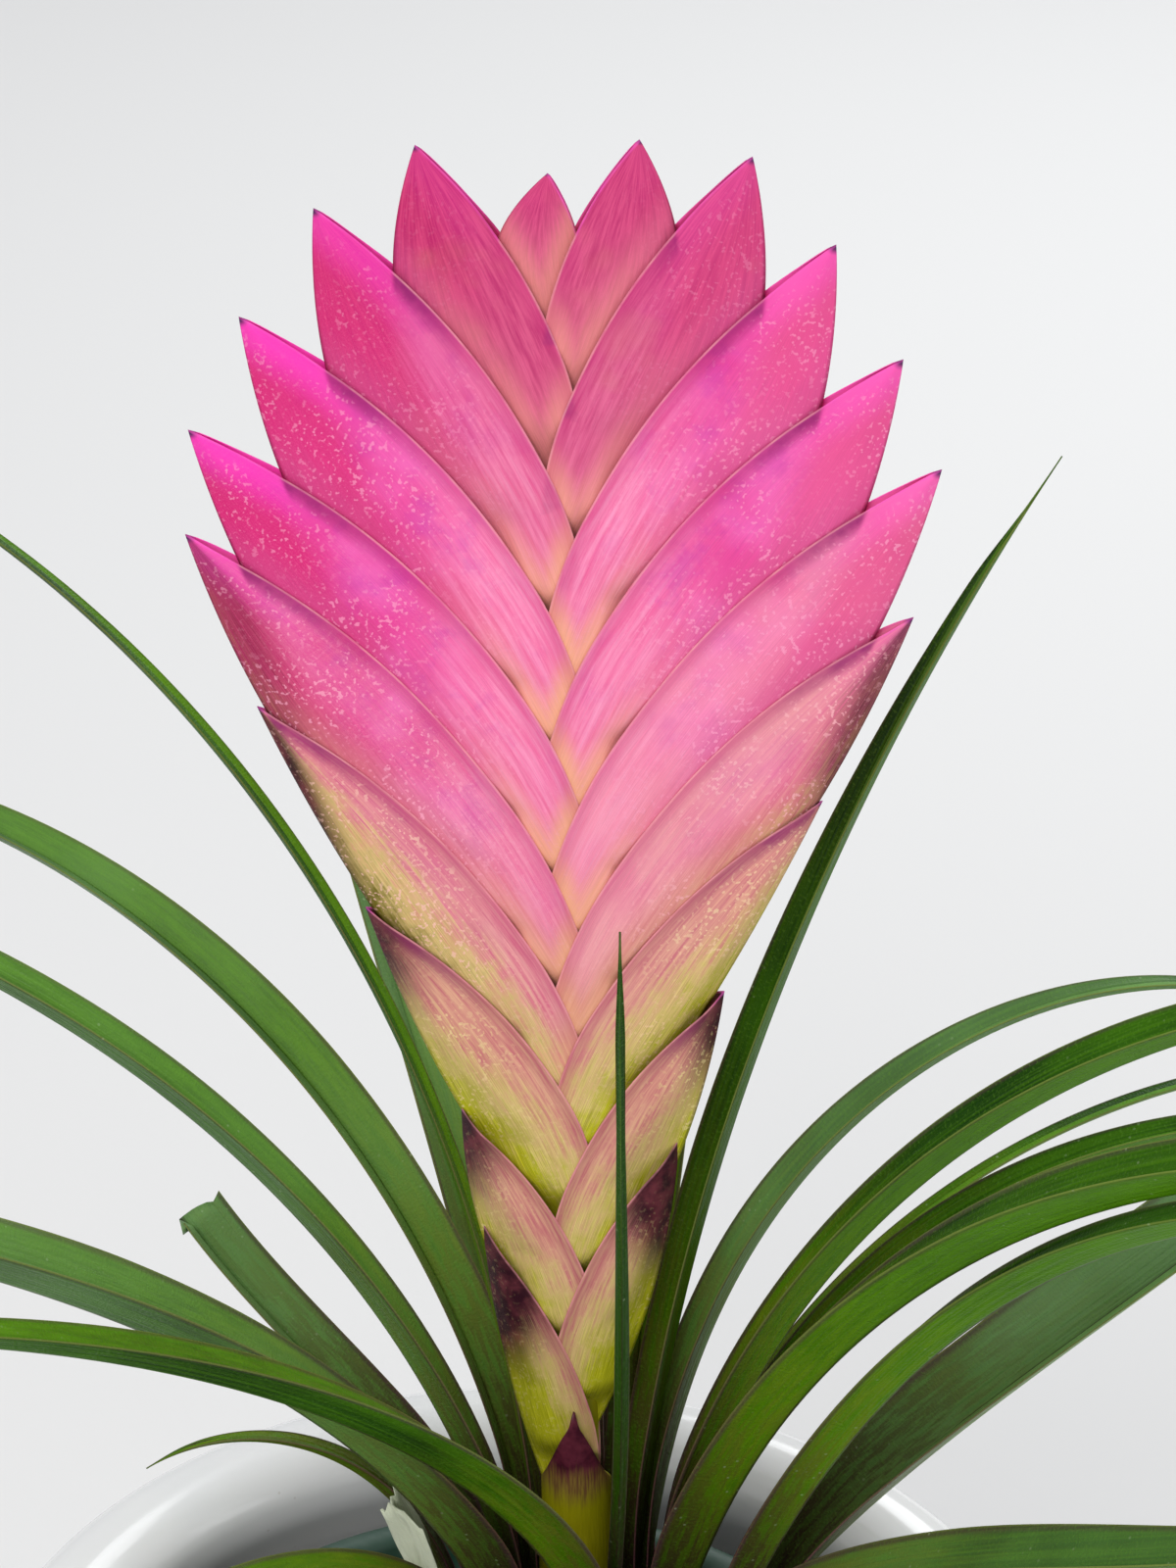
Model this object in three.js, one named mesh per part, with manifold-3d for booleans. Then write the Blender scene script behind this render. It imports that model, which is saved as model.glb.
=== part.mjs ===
// A flowering pink quill in its nursery pot, standing in a white cover pot.
// Millimetres, +Z up. The origin is the centre of the cover pot's foot, on the surface it stands on.
// The flat flower head lies in the XZ plane, and its face that is seen looks along -Y.
import * as THREE from "three";
import Module from "manifold-3d";

const wasm = await Module();
wasm.setup();

// Cover pot: glazed, with a flat foot and a thick rounded lip.
const POT_HEIGHT = 97;
const POT_RADIUS = 58.5;
const POT_FOOT_RADIUS = 44;
const POT_CHAMFER = 3;
const POT_WALL = 5;
const POT_FLOOR = 9;
const POT_FLOOR_INSET = 4;
// How far the wall has opened from the foot's radius to its full one, at two heights.
const POT_BELLY = { height: 22, opened: 0.62 };
const POT_SHOULDER = { height: 55, opened: 0.9 };
const LIP_OVERHANG = 2.5;
const LIP_THICKNESS = 12;
const LIP_DEPTH = 9;
const LIP_ROUND = 5;
const LIP_FILLET = 3;
const LIP_DRAFT = 0.6;

// Nursery pot: thin and tapered, with a rolled rim and drain holes, standing on the cover pot's floor.
const GAP = 0.3;
const NURSERY_RADIUS = 40;
const NURSERY_BASE_RADIUS = 30;
const NURSERY_TOP = 91;
const NURSERY_WALL = 1.4;
const NURSERY_RIM_WIDTH = 2.4;
const NURSERY_RIM_DEPTH = 7;
const RIM_ROUND = 1.2;
const RIM_DRAFT = 0.6;
const DRAIN_HOLES = 6;
const DRAIN_RADIUS = 3;
const DRAIN_CIRCLE = 19;

// The plant stands a little off the pot's centre.
const PLANT_X = 8;
const PLANT_Y = 3;
const MIX_TOP = 87;
const MIX_EDGE_DROP = 2.5;
const MIX_BUMP = 0.5;
const STEM_RADIUS = 14.5;
const STEM_HOLE_DEPTH = 8;
const STEM_TOP = 88.3;

// Leaves. Each sheath is a part of a ring round the stem, and the next one out leaves this room.
const LEAF_FOOT = 88.6;
const LEAF_THICKNESS = 0.7;
const SHEATH_STEP = 1.05;
const FIRST_SHEATH_RADIUS = 5.2;
const SHEATH_HALF_ARC = 23;
const SHEATH_END = 2;
const CHANNEL_START = 35.2;
const CHANNEL_ANGLE = 46;
const LEAF_ROWS = 11;
const LEAF_COLUMNS = 5;

// name, azimuth of the foot, turn along the leaf, lean from upright at foot, middle and tip (degrees),
// length and width (mm). The first leaf is the innermost. A leaf runs to a point unless its end is given.
const LEAVES = [
  { name: "front_quill", azimuth: 284, turn: -16, lean: [12, 24, 7], length: 135, width: 2.2 },
  { name: "right_quill", azimuth: 24, turn: -5, lean: [0, 17, 34], length: 151, width: 7.2 },
  { name: "left_quill", azimuth: 146, turn: 15, lean: [2, 32, 93], length: 198, width: 3.2 },
  { name: "back_quill", azimuth: 70, turn: 8, lean: [2, 12, 12], length: 84, width: 2.4 },
  { name: "right_back", azimuth: 33, turn: -25, lean: [4, 33, 119], length: 128, width: 7.4 },
  { name: "back_high", azimuth: 96, turn: 0, lean: [4, 40, 98], length: 180, width: 7.5 },
  { name: "left_high", azimuth: 188, turn: -6, lean: [2, 47, 95], length: 190, width: 8 },
  { name: "left_back", azimuth: 135, turn: 17, lean: [1, 54, 118], length: 170, width: 10 },
  { name: "right_long", azimuth: 0, turn: -17, lean: [2, 48, 116], length: 182, width: 9.6 },
  { name: "back_left", azimuth: 113, turn: 2, lean: [9, 42, 46], length: 107, width: 8.6 },
  { name: "right_front", azimuth: 329, turn: -3, lean: [5, 53, 114], length: 195, width: 12.4 },
  { name: "right_mid", azimuth: 14, turn: -23, lean: [3, 48, 118], length: 140, width: 6.6 },
  { name: "left_front", azimuth: 214, turn: -11, lean: [5, 56, 61], length: 188, width: 13.4 },
  { name: "right_thin", azimuth: 42, turn: -19, lean: [0, 76, 119], length: 158, width: 3 },
  { name: "left_cut", azimuth: 146, turn: 7, lean: [3, 48, 40], length: 66, width: 10.4, end: "cut" },
  { name: "back_right", azimuth: 74, turn: 6, lean: [6, 54, 108], length: 165, width: 8 },
  { name: "front_left", azimuth: 277, turn: -60, lean: [17, 48, 75], length: 176, width: 9 },
  { name: "right_under", azimuth: 342, turn: -23, lean: [16, 43, 100], length: 159, width: 9.2 },
  { name: "back_low", azimuth: 104, turn: 4, lean: [10, 64, 112], length: 150, width: 8.6 },
  { name: "right_broad", azimuth: 2, turn: 27, lean: [17, 63, 4], length: 161, width: 16 },
  { name: "left_small", azimuth: 177, turn: 16, lean: [14, 32, 119], length: 62, width: 4.6 },
  { name: "right_low", azimuth: 301, turn: 14, lean: [15, 58, 38], length: 152, width: 15 },
  { name: "front_a", azimuth: 238, turn: 0, lean: [14, 70, 108], length: 160, width: 10 },
  { name: "front_b", azimuth: 254, turn: 0, lean: [16, 76, 106], length: 150, width: 9.6 },
  { name: "front_c", azimuth: 278, turn: 0, lean: [16, 80, 108], length: 158, width: 9 },
  { name: "front_d", azimuth: 322, turn: -4, lean: [16, 82, 112], length: 140, width: 9.6 },
  { name: "dry", azimuth: 199, turn: 0, lean: [13, 18, 22], length: 38, width: 8, end: "torn" },
];
const CUT_DEPTH = 1.6;
const TEAR_DEPTH = 4;
const DRY_LEAF = "dry";

// Flower spike: a stalk in sheaths below, and folded bracts in two ranks above, lowest first.
// Its heights are measured from the crown, which lies just under the top of the mix.
const CROWN = 84;
const SPIKE_SHIFT = -0.8;
const SPIKE_LEAN = -0.011;
const STALK_RADIUS = 2.4;
const CORE_HALF_THICKNESS = 2.6;
const MARGIN_RISE = 0.9;
const CLASP_END = 0.4;
const RANK_RISE = 0.1;
const EDGE_HALF_THICKNESS = 0.35;
const FOOT_HALF_WIDTH = 2;
const BRACT_ROWS = 9;

// side of the head, height of the foot above the crown, how far out and how high the tip is,
// how far the keel bows out (belly) and how far the margin bows in (crest), all in mm.
const BRACTS = [
  { side: -1, foot: 34, out: 9, up: 69.8, belly: 1.2, crest: 5.2 },
  { side: 1, foot: 45, out: 10.7, up: 79.8, belly: 1.8, crest: 5.4 },
  { side: -1, foot: 52, out: 10.8, up: 83.5, belly: 2.4, crest: 5.6 },
  { side: 1, foot: 60, out: 15.2, up: 97, belly: 2.2, crest: 6.6 },
  { side: -1, foot: 68, out: 19.6, up: 106.5, belly: 1.6, crest: 8 },
  { side: 1, foot: 76, out: 24.6, up: 118.2, belly: 1, crest: 8.2 },
  { side: -1, foot: 81, out: 29.2, up: 128.4, belly: 2, crest: 8.8 },
  { side: 1, foot: 88, out: 32.9, up: 137.8, belly: 3.2, crest: 9.5 },
  { side: -1, foot: 94, out: 35.1, up: 146.4, belly: 4.8, crest: 9.6 },
  { side: 1, foot: 101, out: 35.2, up: 153, belly: 5.3, crest: 10 },
  { side: -1, foot: 106, out: 34.3, up: 157, belly: 5.4, crest: 10.6 },
  { side: 1, foot: 113, out: 31.4, up: 164, belly: 6.4, crest: 10 },
  { side: -1, foot: 119, out: 29.1, up: 168.2, belly: 6, crest: 9.5 },
  { side: 1, foot: 127, out: 25.1, up: 175.2, belly: 7.4, crest: 8.3 },
  { side: -1, foot: 133, out: 21.9, up: 178.7, belly: 7, crest: 7.8 },
  { side: 1, foot: 142, out: 17.5, up: 183.6, belly: 7.4, crest: 6.5 },
  { side: -1, foot: 150, out: 12.6, up: 184.7, belly: 7, crest: 5.3 },
  { side: 1, foot: 159, out: 7.4, up: 185.2, belly: 6.2, crest: 3.8 },
  { side: -1, foot: 166, out: 0.8, up: 182, belly: 4.4, crest: 2.6 },
];

const radians = THREE.MathUtils.degToRad;
const mix = THREE.MathUtils.lerp;
const clamp = THREE.MathUtils.clamp;

// A closed mesh as a solid. Points that coincide are merged, and faces that this flattens are dropped.
const MERGE = 1e4;
function solidFrom(points, faces) {
  const seen = new Map();
  const coordinates = [];
  const merged = points.map((p) => {
    const key = [p.x, p.y, p.z].map((v) => Math.round(v * MERGE)).join();
    if (!seen.has(key)) {
      seen.set(key, seen.size);
      coordinates.push(p.x, p.y, p.z);
    }
    return seen.get(key);
  });
  const triangles = faces
    .map((face) => face.map((i) => merged[i]))
    .filter(([a, b, c]) => a !== b && b !== c && c !== a);
  const mesh = new wasm.Mesh({
    numProp: 3,
    vertProperties: new Float32Array(coordinates),
    triVerts: new Uint32Array(triangles.flat()),
  });
  return new wasm.Manifold(mesh);
}

// The points and faces of a three.js geometry, as a solid.
function solidOf(geometry) {
  const at = geometry.getAttribute("position");
  const points = [];
  for (let i = 0; i < at.count; i++) {
    points.push(new THREE.Vector3().fromBufferAttribute(at, i));
  }
  const order = geometry.index ? [...geometry.index.array] : points.map((_, i) => i);
  const faces = [];
  for (let i = 0; i < order.length; i += 3) {
    faces.push(order.slice(i, i + 3));
  }
  return solidFrom(points, faces);
}

function geometryOf(solid) {
  const mesh = solid.getMesh();
  const count = mesh.vertProperties.length / mesh.numProp;
  const positions = new Float32Array(count * 3);
  for (let i = 0; i < count; i++) {
    const from = i * mesh.numProp;
    positions.set(mesh.vertProperties.subarray(from, from + 3), i * 3);
  }
  const geometry = new THREE.BufferGeometry();
  geometry.setAttribute("position", new THREE.BufferAttribute(positions, 3));
  geometry.setIndex([...mesh.triVerts]);
  geometry.computeVertexNormals();
  return geometry;
}

function union(solids) {
  return solids.reduce((whole, solid) => whole.add(solid));
}

// A thin body between an upper and a lower face, each a table of rows of points of the same size.
// Both faces are split into triangles alike.
function blade(upper, lower) {
  const rows = upper.length;
  const columns = upper[0].length;
  const points = [...upper.flat(), ...lower.flat()];
  const top = (r, c) => r * columns + c;
  const under = (r, c) => (rows + r) * columns + c;
  const faces = [];
  for (let r = 0; r < rows - 1; r++) {
    for (let c = 0; c < columns - 1; c++) {
      faces.push([top(r, c), top(r, c + 1), top(r + 1, c + 1)]);
      faces.push([top(r, c), top(r + 1, c + 1), top(r + 1, c)]);
      faces.push([under(r, c), under(r + 1, c + 1), under(r, c + 1)]);
      faces.push([under(r, c), under(r + 1, c), under(r + 1, c + 1)]);
    }
  }
  const rim = (a, b) => {
    faces.push([top(...a), under(...a), under(...b)]);
    faces.push([top(...a), under(...b), top(...b)]);
  };
  for (let c = 0; c < columns - 1; c++) {
    rim([0, c], [0, c + 1]);
    rim([rows - 1, c + 1], [rows - 1, c]);
  }
  for (let r = 0; r < rows - 1; r++) {
    rim([r + 1, 0], [r, 0]);
    rim([r, columns - 1], [r + 1, columns - 1]);
  }
  const made = solidFrom(points, faces);
  return made.volume() > 0 ? made : solidFrom(points, faces.map(([a, b, c]) => [a, c, b]));
}

const ROUND = 40;
function turned(profile, segments = ROUND) {
  const outline = profile.map(([r, z]) => new THREE.Vector2(r, z));
  const lathe = new THREE.LatheGeometry(outline, segments);
  lathe.rotateX(Math.PI / 2);
  const made = solidOf(lathe);
  return made.volume() > 0 ? made : turned([...profile].reverse(), segments);
}

function cylinder(radius, bottom, top, sides, x = 0, y = 0) {
  const round = new THREE.CylinderGeometry(radius, radius, top - bottom, sides);
  round.rotateX(Math.PI / 2);
  round.translate(x, y, (bottom + top) / 2);
  return solidOf(round);
}

const root = new THREE.Group();
root.name = "pink_quill";

function addMesh(group, name, solid, colour, roughness) {
  const material = new THREE.MeshStandardMaterial({ color: colour, roughness, metalness: 0 });
  const mesh = new THREE.Mesh(geometryOf(solid), material);
  mesh.name = name;
  group.add(mesh);
  return mesh;
}

// Half a turn of points round a lip or rim, from its outer side over the top to its inner side.
const LIP_STEPS = 5;
function roundedTop(outer, inner, top, height) {
  const middle = (outer + inner) / 2;
  const half = (outer - inner) / 2;
  return Array.from({ length: LIP_STEPS + 1 }, (_, i) => {
    const turn = (Math.PI * i) / LIP_STEPS;
    return [middle + half * Math.cos(turn), top - height + height * Math.sin(turn)];
  });
}

function coverPot() {
  const lipInner = POT_RADIUS - LIP_THICKNESS;
  const lipFoot = POT_HEIGHT - LIP_DEPTH;
  const wallOuter = POT_RADIUS - LIP_OVERHANG;
  const bellyRadius = mix(POT_FOOT_RADIUS, wallOuter, POT_BELLY.opened);
  const shoulderRadius = mix(POT_FOOT_RADIUS, wallOuter, POT_SHOULDER.opened);
  const profile = [
    [0, 0],
    [POT_FOOT_RADIUS, 0],
    [POT_FOOT_RADIUS + POT_CHAMFER, POT_CHAMFER],
    [bellyRadius, POT_BELLY.height],
    [shoulderRadius, POT_SHOULDER.height],
    [wallOuter, lipFoot - LIP_FILLET],
    ...roundedTop(POT_RADIUS, lipInner, POT_HEIGHT, LIP_ROUND),
    [lipInner + LIP_DRAFT, lipFoot],
    [wallOuter - POT_WALL, lipFoot - 2 * LIP_FILLET],
    [shoulderRadius - POT_WALL, POT_SHOULDER.height],
    [bellyRadius - POT_WALL, POT_BELLY.height],
    [POT_FOOT_RADIUS - POT_FLOOR_INSET, POT_FLOOR],
    [0, POT_FLOOR],
  ];
  return turned(profile);
}

// The nursery pot's inner face, which the mix fills: its radius at a height.
const NURSERY_FOOT = POT_FLOOR + GAP;
function nurseryInner(z) {
  const share = (z - NURSERY_FOOT) / (NURSERY_TOP - NURSERY_FOOT);
  const outer = mix(NURSERY_BASE_RADIUS, NURSERY_RADIUS - NURSERY_RIM_WIDTH, share);
  return outer - NURSERY_WALL;
}

// Cutting bodies reach this far past the faces that they open.
const CUT_MARGIN = 1;
const DRAIN_SIDES = 12;
function nurseryPot() {
  const rimFoot = NURSERY_TOP - NURSERY_RIM_DEPTH;
  const profile = [
    [0, NURSERY_FOOT],
    [NURSERY_BASE_RADIUS, NURSERY_FOOT],
    [nurseryInner(rimFoot) + NURSERY_WALL, rimFoot],
    [NURSERY_RADIUS - RIM_DRAFT, rimFoot],
    ...roundedTop(NURSERY_RADIUS, nurseryInner(NURSERY_TOP), NURSERY_TOP, RIM_ROUND),
    [nurseryInner(NURSERY_FOOT + NURSERY_WALL), NURSERY_FOOT + NURSERY_WALL],
    [0, NURSERY_FOOT + NURSERY_WALL],
  ];
  const holeBottom = NURSERY_FOOT - CUT_MARGIN;
  const holeTop = NURSERY_FOOT + NURSERY_WALL + CUT_MARGIN;
  let pot = turned(profile);
  for (let i = 0; i < DRAIN_HOLES; i++) {
    const turn = (2 * Math.PI * i) / DRAIN_HOLES;
    const x = DRAIN_CIRCLE * Math.cos(turn);
    const y = DRAIN_CIRCLE * Math.sin(turn);
    pot = pot.subtract(cylinder(DRAIN_RADIUS, holeBottom, holeTop, DRAIN_SIDES, x, y));
  }
  return pot;
}

// The growing mix fills the nursery pot, lies a little higher in the middle, and has a hole for the stem.
// Two crossed waves round the pot, which shift from ring to ring, make its surface uneven.
const MIX_RINGS = 5;
const MIX_SECTORS = 36;
const MIX_WAVES = [3, 5];
const MIX_WAVE_SHIFTS = [2, -1];
const STEM_SIDES = 32;
function growingMix() {
  const bottom = NURSERY_FOOT + NURSERY_WALL + GAP;
  const edge = MIX_TOP - MIX_EDGE_DROP;
  const points = [new THREE.Vector3(0, 0, bottom), new THREE.Vector3(0, 0, MIX_TOP)];
  const faces = [];
  const ringAt = (ring, sector) => 2 + ring * MIX_SECTORS + (sector % MIX_SECTORS);
  for (let ring = 0; ring <= MIX_RINGS; ring++) {
    const isFloor = ring === MIX_RINGS;
    for (let sector = 0; sector < MIX_SECTORS; sector++) {
      const turn = (2 * Math.PI * sector) / MIX_SECTORS;
      const share = isFloor ? 1 : (ring + 1) / MIX_RINGS;
      const z = isFloor ? bottom : mix(MIX_TOP, edge, share * share);
      const radius = (nurseryInner(isFloor ? bottom : edge) - GAP) * share;
      const [first, second] = MIX_WAVES.map((count, i) => count * turn + MIX_WAVE_SHIFTS[i] * ring);
      const bump = isFloor ? 0 : MIX_BUMP * Math.sin(first) * Math.cos(second);
      points.push(new THREE.Vector3(radius * Math.cos(turn), radius * Math.sin(turn), z + bump));
    }
  }
  for (let sector = 0; sector < MIX_SECTORS; sector++) {
    const next = sector + 1;
    faces.push([1, ringAt(0, sector), ringAt(0, next)]);
    faces.push([0, ringAt(MIX_RINGS, next), ringAt(MIX_RINGS, sector)]);
    for (let ring = 0; ring < MIX_RINGS; ring++) {
      faces.push([ringAt(ring, sector), ringAt(ring + 1, sector), ringAt(ring + 1, next)]);
      faces.push([ringAt(ring, sector), ringAt(ring + 1, next), ringAt(ring, next)]);
    }
  }
  const body = solidFrom(points, faces);
  const holeFloor = MIX_TOP - STEM_HOLE_DEPTH;
  const holeTop = MIX_TOP + CUT_MARGIN;
  return body.subtract(cylinder(STEM_RADIUS + GAP, holeFloor, holeTop, STEM_SIDES, PLANT_X, PLANT_Y));
}

// The short stem is a plug that the leaves stand on, with a core that carries the flower stalk.
const STEM_CORE_HEIGHT = 4;
const STEM_CORE_SIDES = 16;
function crownStem() {
  const bottom = MIX_TOP - STEM_HOLE_DEPTH + GAP;
  const plug = cylinder(STEM_RADIUS, bottom, STEM_TOP, STEM_SIDES);
  const coreRadius = FIRST_SHEATH_RADIUS - LEAF_THICKNESS - GAP;
  const core = cylinder(coreRadius, STEM_TOP - 1, STEM_TOP + STEM_CORE_HEIGHT, STEM_CORE_SIDES);
  return plug.add(core);
}

function angleBetween(a, b) {
  const apart = Math.abs(a - b) % 360;
  return Math.min(apart, 360 - apart);
}

// Seats each leaf as far in as the leaves inside it allow: a sheath lies one step outside any it overlaps.
function seatLeaves() {
  const seated = [];
  for (const leaf of LEAVES) {
    const radii = seated
      .filter((other) => angleBetween(other.azimuth, leaf.azimuth) < 2 * SHEATH_HALF_ARC)
      .map((other) => other.radius + SHEATH_STEP);
    seated.push({ ...leaf, radius: Math.max(FIRST_SHEATH_RADIUS, ...radii) });
  }
  return seated;
}

// Lean from upright at a share of the length, through the three given leans.
function leanAt([foot, middle, tip], s) {
  return foot * (1 - s) * (1 - 2 * s) + 4 * middle * s * (1 - s) + tip * s * (2 * s - 1);
}

// The direction of a leaf at a share of its length, and the level direction across it.
function headingAt(leaf, s) {
  const lean = radians(leanAt(leaf.lean, s));
  const azimuth = radians(leaf.azimuth + leaf.turn * (1 - (1 - s) ** 3));
  const along = new THREE.Vector3(
    Math.sin(lean) * Math.cos(azimuth),
    Math.sin(lean) * Math.sin(azimuth),
    Math.cos(lean),
  );
  const across = new THREE.Vector3(-Math.sin(azimuth), Math.cos(azimuth), 0);
  return { along, across };
}

// Half the width of the blade at a share of its length: full to near the middle, then a long point.
const POINT_START = 0.45;
const POINT_WIDTH = 0.1;
const POINT_CURVE = 1.6;
function halfWidthAt(leaf, s) {
  if (leaf.end) {
    return leaf.width / 2;
  }
  const past = clamp((s - POINT_START) / (1 - POINT_START), 0, 1);
  return (leaf.width / 2) * mix(1, POINT_WIDTH, past ** POINT_CURVE);
}

// How far an end that isn't a point is set back, across the blade from -1 to 1: hollow or slanting.
function endSetBack(leaf, share) {
  if (leaf.end === "cut") {
    return CUT_DEPTH * (1 - share * share);
  }
  return leaf.end === "torn" ? TEAR_DEPTH * (share + 1) * Math.abs(share - 0.5) : 0;
}

const PATH_STEPS = 60;
function leafSolid(leaf) {
  const azimuth = radians(leaf.azimuth);
  const x = leaf.radius * Math.cos(azimuth);
  const y = leaf.radius * Math.sin(azimuth);
  const at = new THREE.Vector3(x, y, LEAF_FOOT);
  const upper = [];
  const lower = [];
  for (let step = 0; step <= PATH_STEPS; step++) {
    const s = step / PATH_STEPS;
    if (step > 0) {
      at.addScaledVector(headingAt(leaf, s - 0.5 / PATH_STEPS).along, leaf.length / PATH_STEPS);
    }
    if (step % (PATH_STEPS / (LEAF_ROWS + 1)) !== 0) {
      continue;
    }
    const { along, across } = headingAt(leaf, s);
    const inward = new THREE.Vector3().crossVectors(along, across);
    const sheath = 1 - THREE.MathUtils.smoothstep(s * leaf.length, SHEATH_END, CHANNEL_START);
    const half = halfWidthAt(leaf, s);
    const channel = radians(CHANNEL_ANGLE);
    const row = [];
    const rowBelow = [];
    for (let c = 0; c < LEAF_COLUMNS; c++) {
      const share = (2 * c) / (LEAF_COLUMNS - 1) - 1;
      const arc = radians(SHEATH_HALF_ARC) * share;
      const bladeSide = half * share * Math.cos(channel);
      const bladeRise = half * Math.abs(share) * Math.sin(channel);
      const side = mix(bladeSide, leaf.radius * Math.sin(arc), sheath);
      const rise = mix(bladeRise, leaf.radius * (1 - Math.cos(arc)), sheath);
      const tilt = mix(Math.sign(share) * channel, arc, sheath);
      const normal = inward.clone().multiplyScalar(Math.cos(tilt));
      normal.addScaledVector(across, -Math.sin(tilt));
      const point = at.clone().addScaledVector(across, side).addScaledVector(inward, rise);
      if (step === PATH_STEPS) {
        point.addScaledVector(along, -endSetBack(leaf, share));
      }
      row.push(point);
      rowBelow.push(point.clone().addScaledVector(normal, -LEAF_THICKNESS));
    }
    upper.push(row);
    lower.push(rowBelow);
  }
  return blade(upper, lower);
}

// The spike's axis leans slightly: its place at a height.
function spikeAxis(z) {
  return SPIKE_SHIFT + SPIKE_LEAN * (z - CROWN);
}

// Half the thickness of the closed head: most along its axis, less to its edges, its foot and its top.
const CORE_SPREAD = 15;
const TOP_TAPER = { end: 188, reach: 60, least: 0.1 };
const FOOT_TAPER = { end: 16, reach: 90, least: 0.2 };
function headHalfThickness(out, z) {
  const above = z - CROWN;
  const towardsTop = clamp((TOP_TAPER.end - above) / TOP_TAPER.reach, TOP_TAPER.least, 1);
  const towardsFoot = clamp((above - FOOT_TAPER.end) / FOOT_TAPER.reach, FOOT_TAPER.least, 1);
  const taper = Math.min(towardsTop, towardsFoot);
  return EDGE_HALF_THICKNESS + CORE_HALF_THICKNESS * taper * Math.exp(-((out / CORE_SPREAD) ** 2));
}

// Outlines of a bract beside the line from its foot to its tip, at a share of its length.
const MARGIN_PEAK = 0.38;
const MARGIN_AT_FOOT = 0.45;
const MARGIN_CURVE = 2.2;
function marginAt(bract, t) {
  if (t < MARGIN_PEAK) {
    return bract.crest * mix(MARGIN_AT_FOOT, 1, Math.sin((Math.PI / 2) * (t / MARGIN_PEAK)));
  }
  return bract.crest * (1 - ((t - MARGIN_PEAK) / (1 - MARGIN_PEAK)) ** MARGIN_CURVE);
}

function keelAt(bract, t) {
  return -FOOT_HALF_WIDTH * (1 - t) - bract.belly * 4 * t * (1 - t);
}

// A folded bract as a solid: its keel is the outer edge, and its two margins lie on the head's two faces.
// The margins stand proud of the bract above, but where they clasp the axis near the foot, the bract
// below lies over them.
const FULLY_OPEN = 0.3;
const BRACT_SHARES = [0, 0.12, FULLY_OPEN, 0.6, 1];
function bractSolid(bract, rank) {
  const length = Math.hypot(bract.out, bract.up - bract.foot);
  const alongOut = bract.out / length;
  const alongUp = (bract.up - bract.foot) / length;
  const front = [];
  const back = [];
  for (let r = 0; r < BRACT_ROWS; r++) {
    const t = r / (BRACT_ROWS - 1);
    const frontRow = [];
    const backRow = [];
    for (const share of BRACT_SHARES) {
      const aside = mix(keelAt(bract, t), marginAt(bract, t), share);
      const out = t * bract.out - aside * alongUp;
      const z = CROWN + bract.foot + t * (bract.up - bract.foot) + aside * alongOut;
      const open = Math.min(1, share / FULLY_OPEN);
      const proud = MARGIN_RISE * share * THREE.MathUtils.smoothstep(t, 0, CLASP_END);
      const layer = (proud + RANK_RISE * (BRACTS.length - rank)) * (1 - t ** 3);
      const half = open * (2 - open) * (headHalfThickness(out, z) + layer);
      const x = spikeAxis(z) + bract.side * out;
      frontRow.push(new THREE.Vector3(x, -half, z));
      backRow.push(new THREE.Vector3(x, half, z));
    }
    front.push(frontRow);
    back.push(backRow);
  }
  return blade(front, back);
}

// A round piece of the stalk that follows the leaning axis.
const STALK_SIDES = 14;
function stalkPiece(radius, bottom, top) {
  const round = new THREE.CylinderGeometry(radius, radius, top - bottom, STALK_SIDES);
  round.rotateX(Math.PI / 2);
  round.translate(0, 0, CROWN + (bottom + top) / 2);
  const at = round.getAttribute("position");
  for (let i = 0; i < at.count; i++) {
    at.setX(i, at.getX(i) + spikeAxis(at.getZ(i)));
  }
  return solidOf(round);
}

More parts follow.
